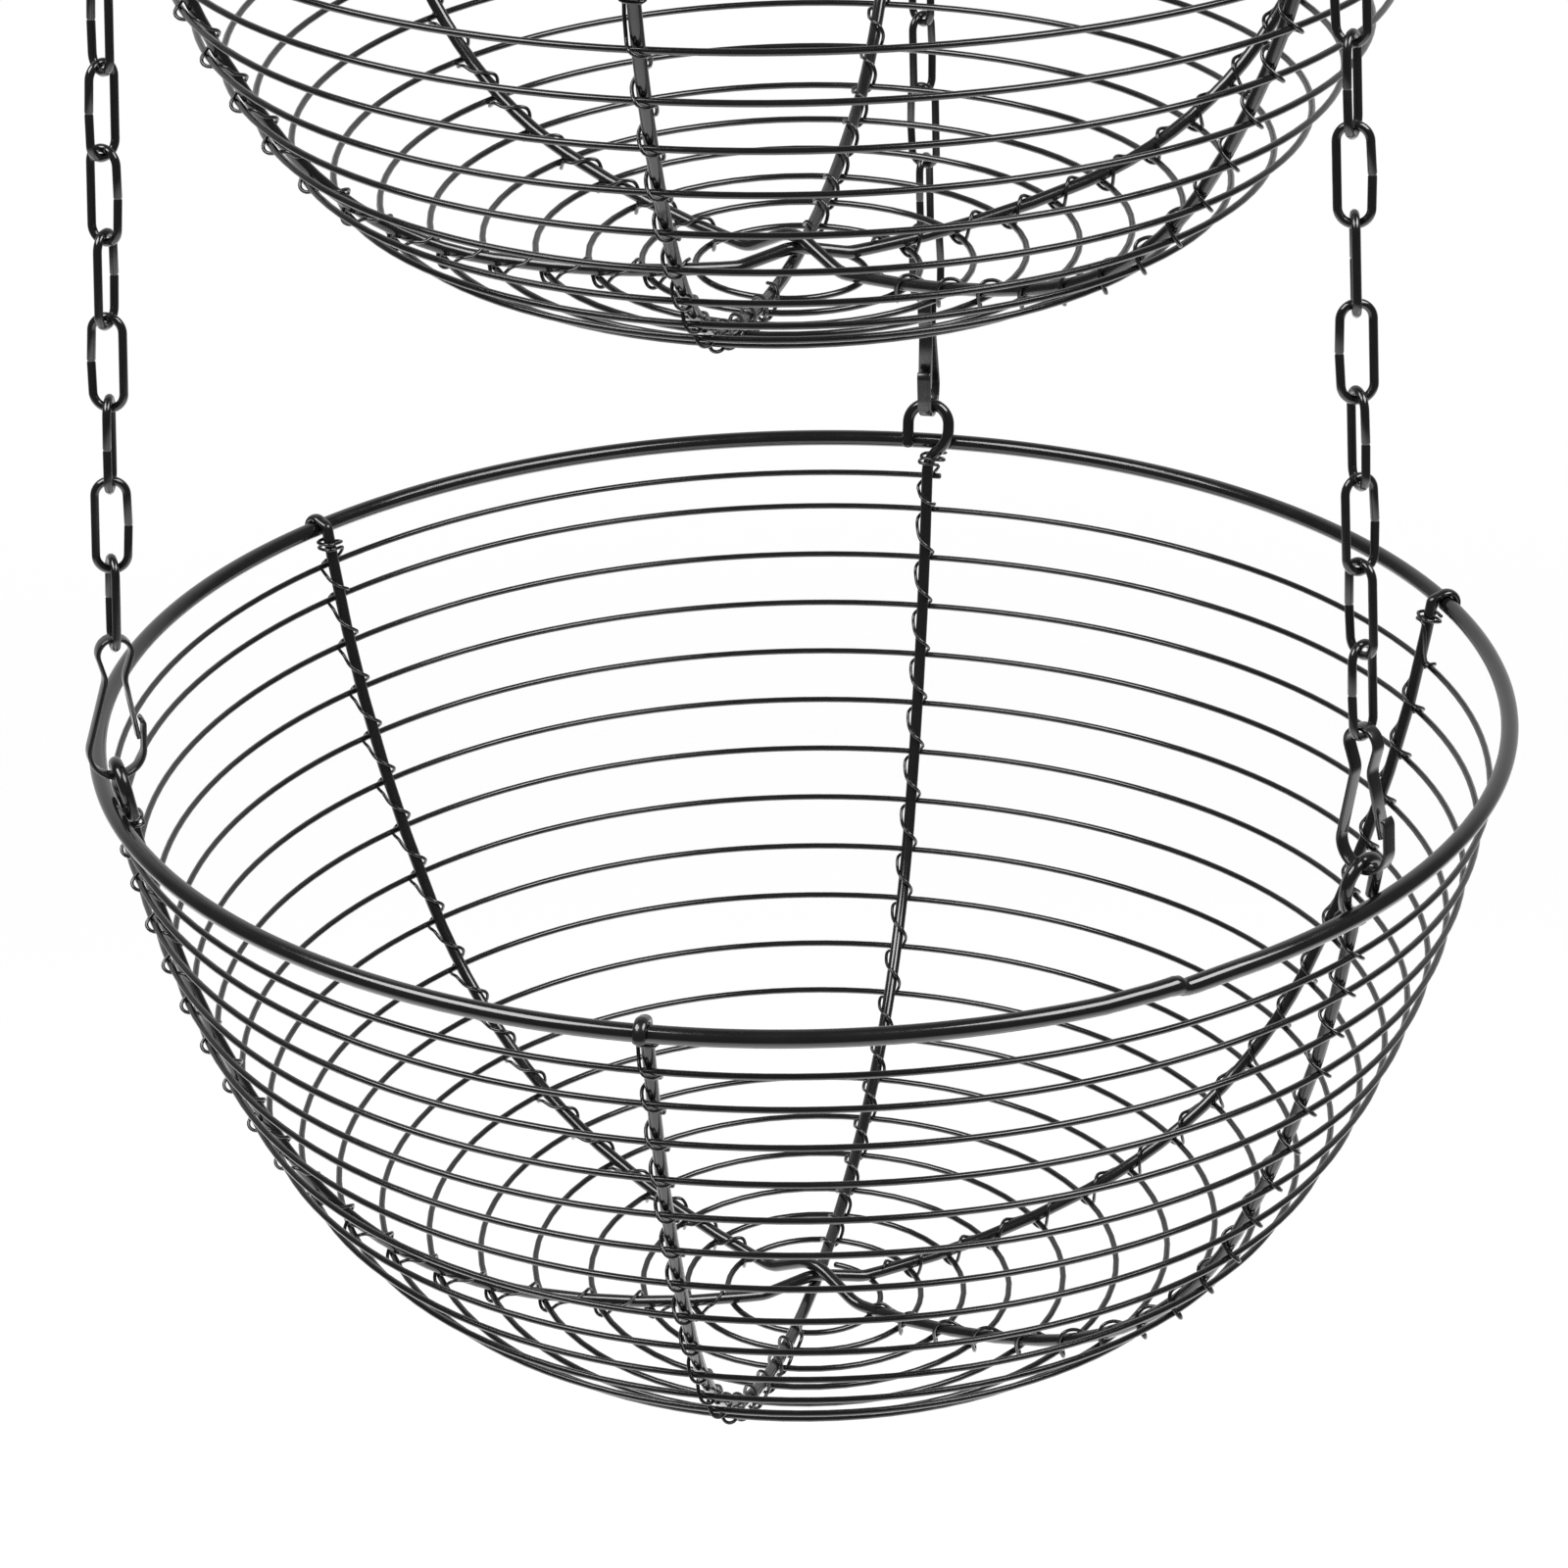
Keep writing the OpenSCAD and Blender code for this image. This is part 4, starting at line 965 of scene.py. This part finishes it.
class BASKET_OT_studio(Maker):
    """Builds the floor, the lights, the white surround and the camera"""
    bl_idname = "basket.studio"
    bl_label = "Studio"

    def make(self, basket):
        studio = basket.studio
        scene = bpy.context.scene
        scene.view_settings.view_transform = "Standard"
        low, high = cad_box
        aim = Vector(((low.x + high.x) / 2, (low.y + high.y) / 2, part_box("lower_rim")[0].z - 0.05))
        self.floor(studio, low.z - studio.drop)
        self.surround(scene)
        for name, azimuth in (("left_softbox", -155), ("right_softbox", -28)):
            a, e = radians(azimuth), radians(52)
            where = aim + 1.5 * Vector((cos(a) * cos(e), sin(a) * cos(e), sin(e)))
            self.light(name, where, aim, (1.0, 0.7), studio.key)
        self.camera(scene)

    def floor(self, studio, height):
        mesh = bpy.data.meshes.new("floor")
        reach = 2.5
        mesh.from_pydata([(-reach, -reach, height), (reach, -reach, height), (reach, reach, height),
                          (-reach, reach, height)], [], [(0, 1, 2, 3)])
        floor = show("floor", mesh)
        material = bpy.data.materials.new("Matt pale floor")
        material.use_nodes = True
        tree = material.node_tree
        tree.nodes.clear()
        matt = add(tree, "ShaderNodeBsdfDiffuse", {"Color": (*studio.floor, 1)})
        seen = self.seen(tree)
        lift = add(tree, "ShaderNodeMath", {0: seen, 1: 0.55}, operation="MULTIPLY")
        glow = add(tree, "ShaderNodeEmission", {"Color": (1, 1, 1, 1), "Strength": lift.outputs[0]})
        both = add(tree, "ShaderNodeAddShader", {0: matt.outputs[0], 1: glow.outputs[0]})
        # The floor fades into the white surround before its edge, so that no horizon shows
        where = add(tree, "ShaderNodeTexCoord").outputs["Object"]
        flat = add(tree, "ShaderNodeVectorMath", {0: where, 1: (1, 1, 0)}, operation="MULTIPLY")
        away = add(tree, "ShaderNodeVectorMath", {0: flat.outputs[0]}, operation="LENGTH")
        faded = add(tree, "ShaderNodeMapRange", {"Value": away.outputs["Value"], "From Min": 0.9, "From Max": 2.4},
                    interpolation_type="SMOOTHSTEP")
        clear = add(tree, "ShaderNodeBsdfTransparent")
        mixed = add(tree, "ShaderNodeMixShader", {0: faded.outputs[0], 1: both.outputs[0], 2: clear.outputs[0]})
        add(tree, "ShaderNodeOutputMaterial", {"Surface": mixed.outputs[0]})
        mesh.materials.append(material)

    def seen(self, tree):
        """1 for a ray from the camera or off gloss, and 0 for light."""
        path = add(tree, "ShaderNodeLightPath")
        some = add(tree, "ShaderNodeMath",
                   {0: path.outputs["Is Camera Ray"], 1: path.outputs["Is Glossy Ray"]}, operation="MAXIMUM")
        return add(tree, "ShaderNodeMath", {0: some.outputs[0], 1: path.outputs["Is Transmission Ray"]},
                   operation="MAXIMUM").outputs[0]

    def surround(self, scene):
        world = scene.world or bpy.data.worlds.new("Surround")
        scene.world = world
        world.use_nodes = True
        tree = world.node_tree
        tree.nodes.clear()
        where = add(tree, "ShaderNodeTexCoord").outputs["Generated"]
        depth = add(tree, "ShaderNodeSeparateXYZ", {0: where}).outputs["Y"]
        backdrop = add(tree, "ShaderNodeMapRange",
                       {"Value": depth, "From Min": 0.35, "From Max": 0.85, "To Min": 0.09, "To Max": 0.45},
                       interpolation_type="SMOOTHSTEP")
        camera = add(tree, "ShaderNodeLightPath").outputs["Is Camera Ray"]
        shown = add(tree, "ShaderNodeMath", {0: camera, 1: backdrop.outputs[0]}, operation="MAXIMUM")
        strength = add(tree, "ShaderNodeMix", {"Factor": self.seen(tree), 2: 0.3, 3: shown.outputs[0]})
        white = add(tree, "ShaderNodeBackground", {"Color": (1, 1, 1, 1), "Strength": strength.outputs[0]})
        add(tree, "ShaderNodeOutputWorld", {"Surface": white.outputs[0]})

    def light(self, name, where, aim, size, power):
        data = bpy.data.lights.new(name, "AREA")
        data.shape, data.size, data.size_y, data.energy = "RECTANGLE", *size, power
        lamp = bpy.data.objects.new(name, data)
        lamp.location = where
        lamp.rotation_mode = "QUATERNION"
        lamp.rotation_quaternion = (where - aim).to_track_quat("Z", "Y")
        bpy.context.scene.collection.objects.link(lamp)

    def camera(self, scene):
        """The photograph's view: from the front, 25 degrees above the lower rim, 1.16 m away."""
        distance, elevation, roll, across = 1.16400, radians(24.992), radians(1.197), -4.0 * MM
        lower = middle("lower_rim")
        forward = Vector((0, cos(elevation), -sin(elevation)))
        upward = Vector((0, sin(elevation), cos(elevation)))
        right = X * cos(roll) - upward * sin(roll)
        top = X * sin(roll) + upward * cos(roll)
        data = bpy.data.cameras.new("camera")
        data.lens, data.sensor_width, data.shift_y = 124.85, 36, -82 / 1600
        data.clip_start, data.clip_end = 0.05, 50
        camera = bpy.data.objects.new("camera", data)
        camera.matrix_world = place(lower + across * X - distance * forward, right, top, -forward)
        scene.collection.objects.link(camera)
        scene.camera = camera


class BASKET_PT_panel(bpy.types.Panel):
    """Sizes, finish and the buttons that build each group of pieces"""
    bl_label = "Fruit basket"
    bl_idname = "BASKET_PT_panel"
    bl_space_type = "VIEW_3D"
    bl_region_type = "UI"
    bl_category = "Fruit basket"

    def draw(self, context):
        basket = context.scene.basket
        for group in ("lower", "upper", "wires", "chain", "clip", "finish", "studio"):
            box = self.layout.box()
            box.label(text=Basket.bl_rna.properties[group].name)
            sizes = getattr(basket, group)
            for name in type(sizes).__annotations__:
                box.prop(sizes, name)
        for maker in MAKERS:
            self.layout.operator(maker.bl_idname)


MAKERS = (BASKET_OT_studio, BASKET_OT_fittings, BASKET_OT_chains, BASKET_OT_clips, BASKET_OT_rims, BASKET_OT_ribs,
          BASKET_OT_spirals, BASKET_OT_bindings)
CLASSES = (LowerBowl, UpperBowl, WireSizes, ChainSizes, ClipSizes, Finish, Studio, Basket, *MAKERS, BASKET_PT_panel)


def register():
    for cls in CLASSES:
        bpy.utils.register_class(cls)
    bpy.types.Scene.basket = PointerProperty(type=Basket)


def unregister():
    del bpy.types.Scene.basket
    for cls in reversed(CLASSES):
        bpy.utils.unregister_class(cls)


def main():
    register()
    for maker in MAKERS:
        group, name = maker.bl_idname.split(".")
        getattr(getattr(bpy.ops, group), name)()


if __name__ == "__main__":
    main()
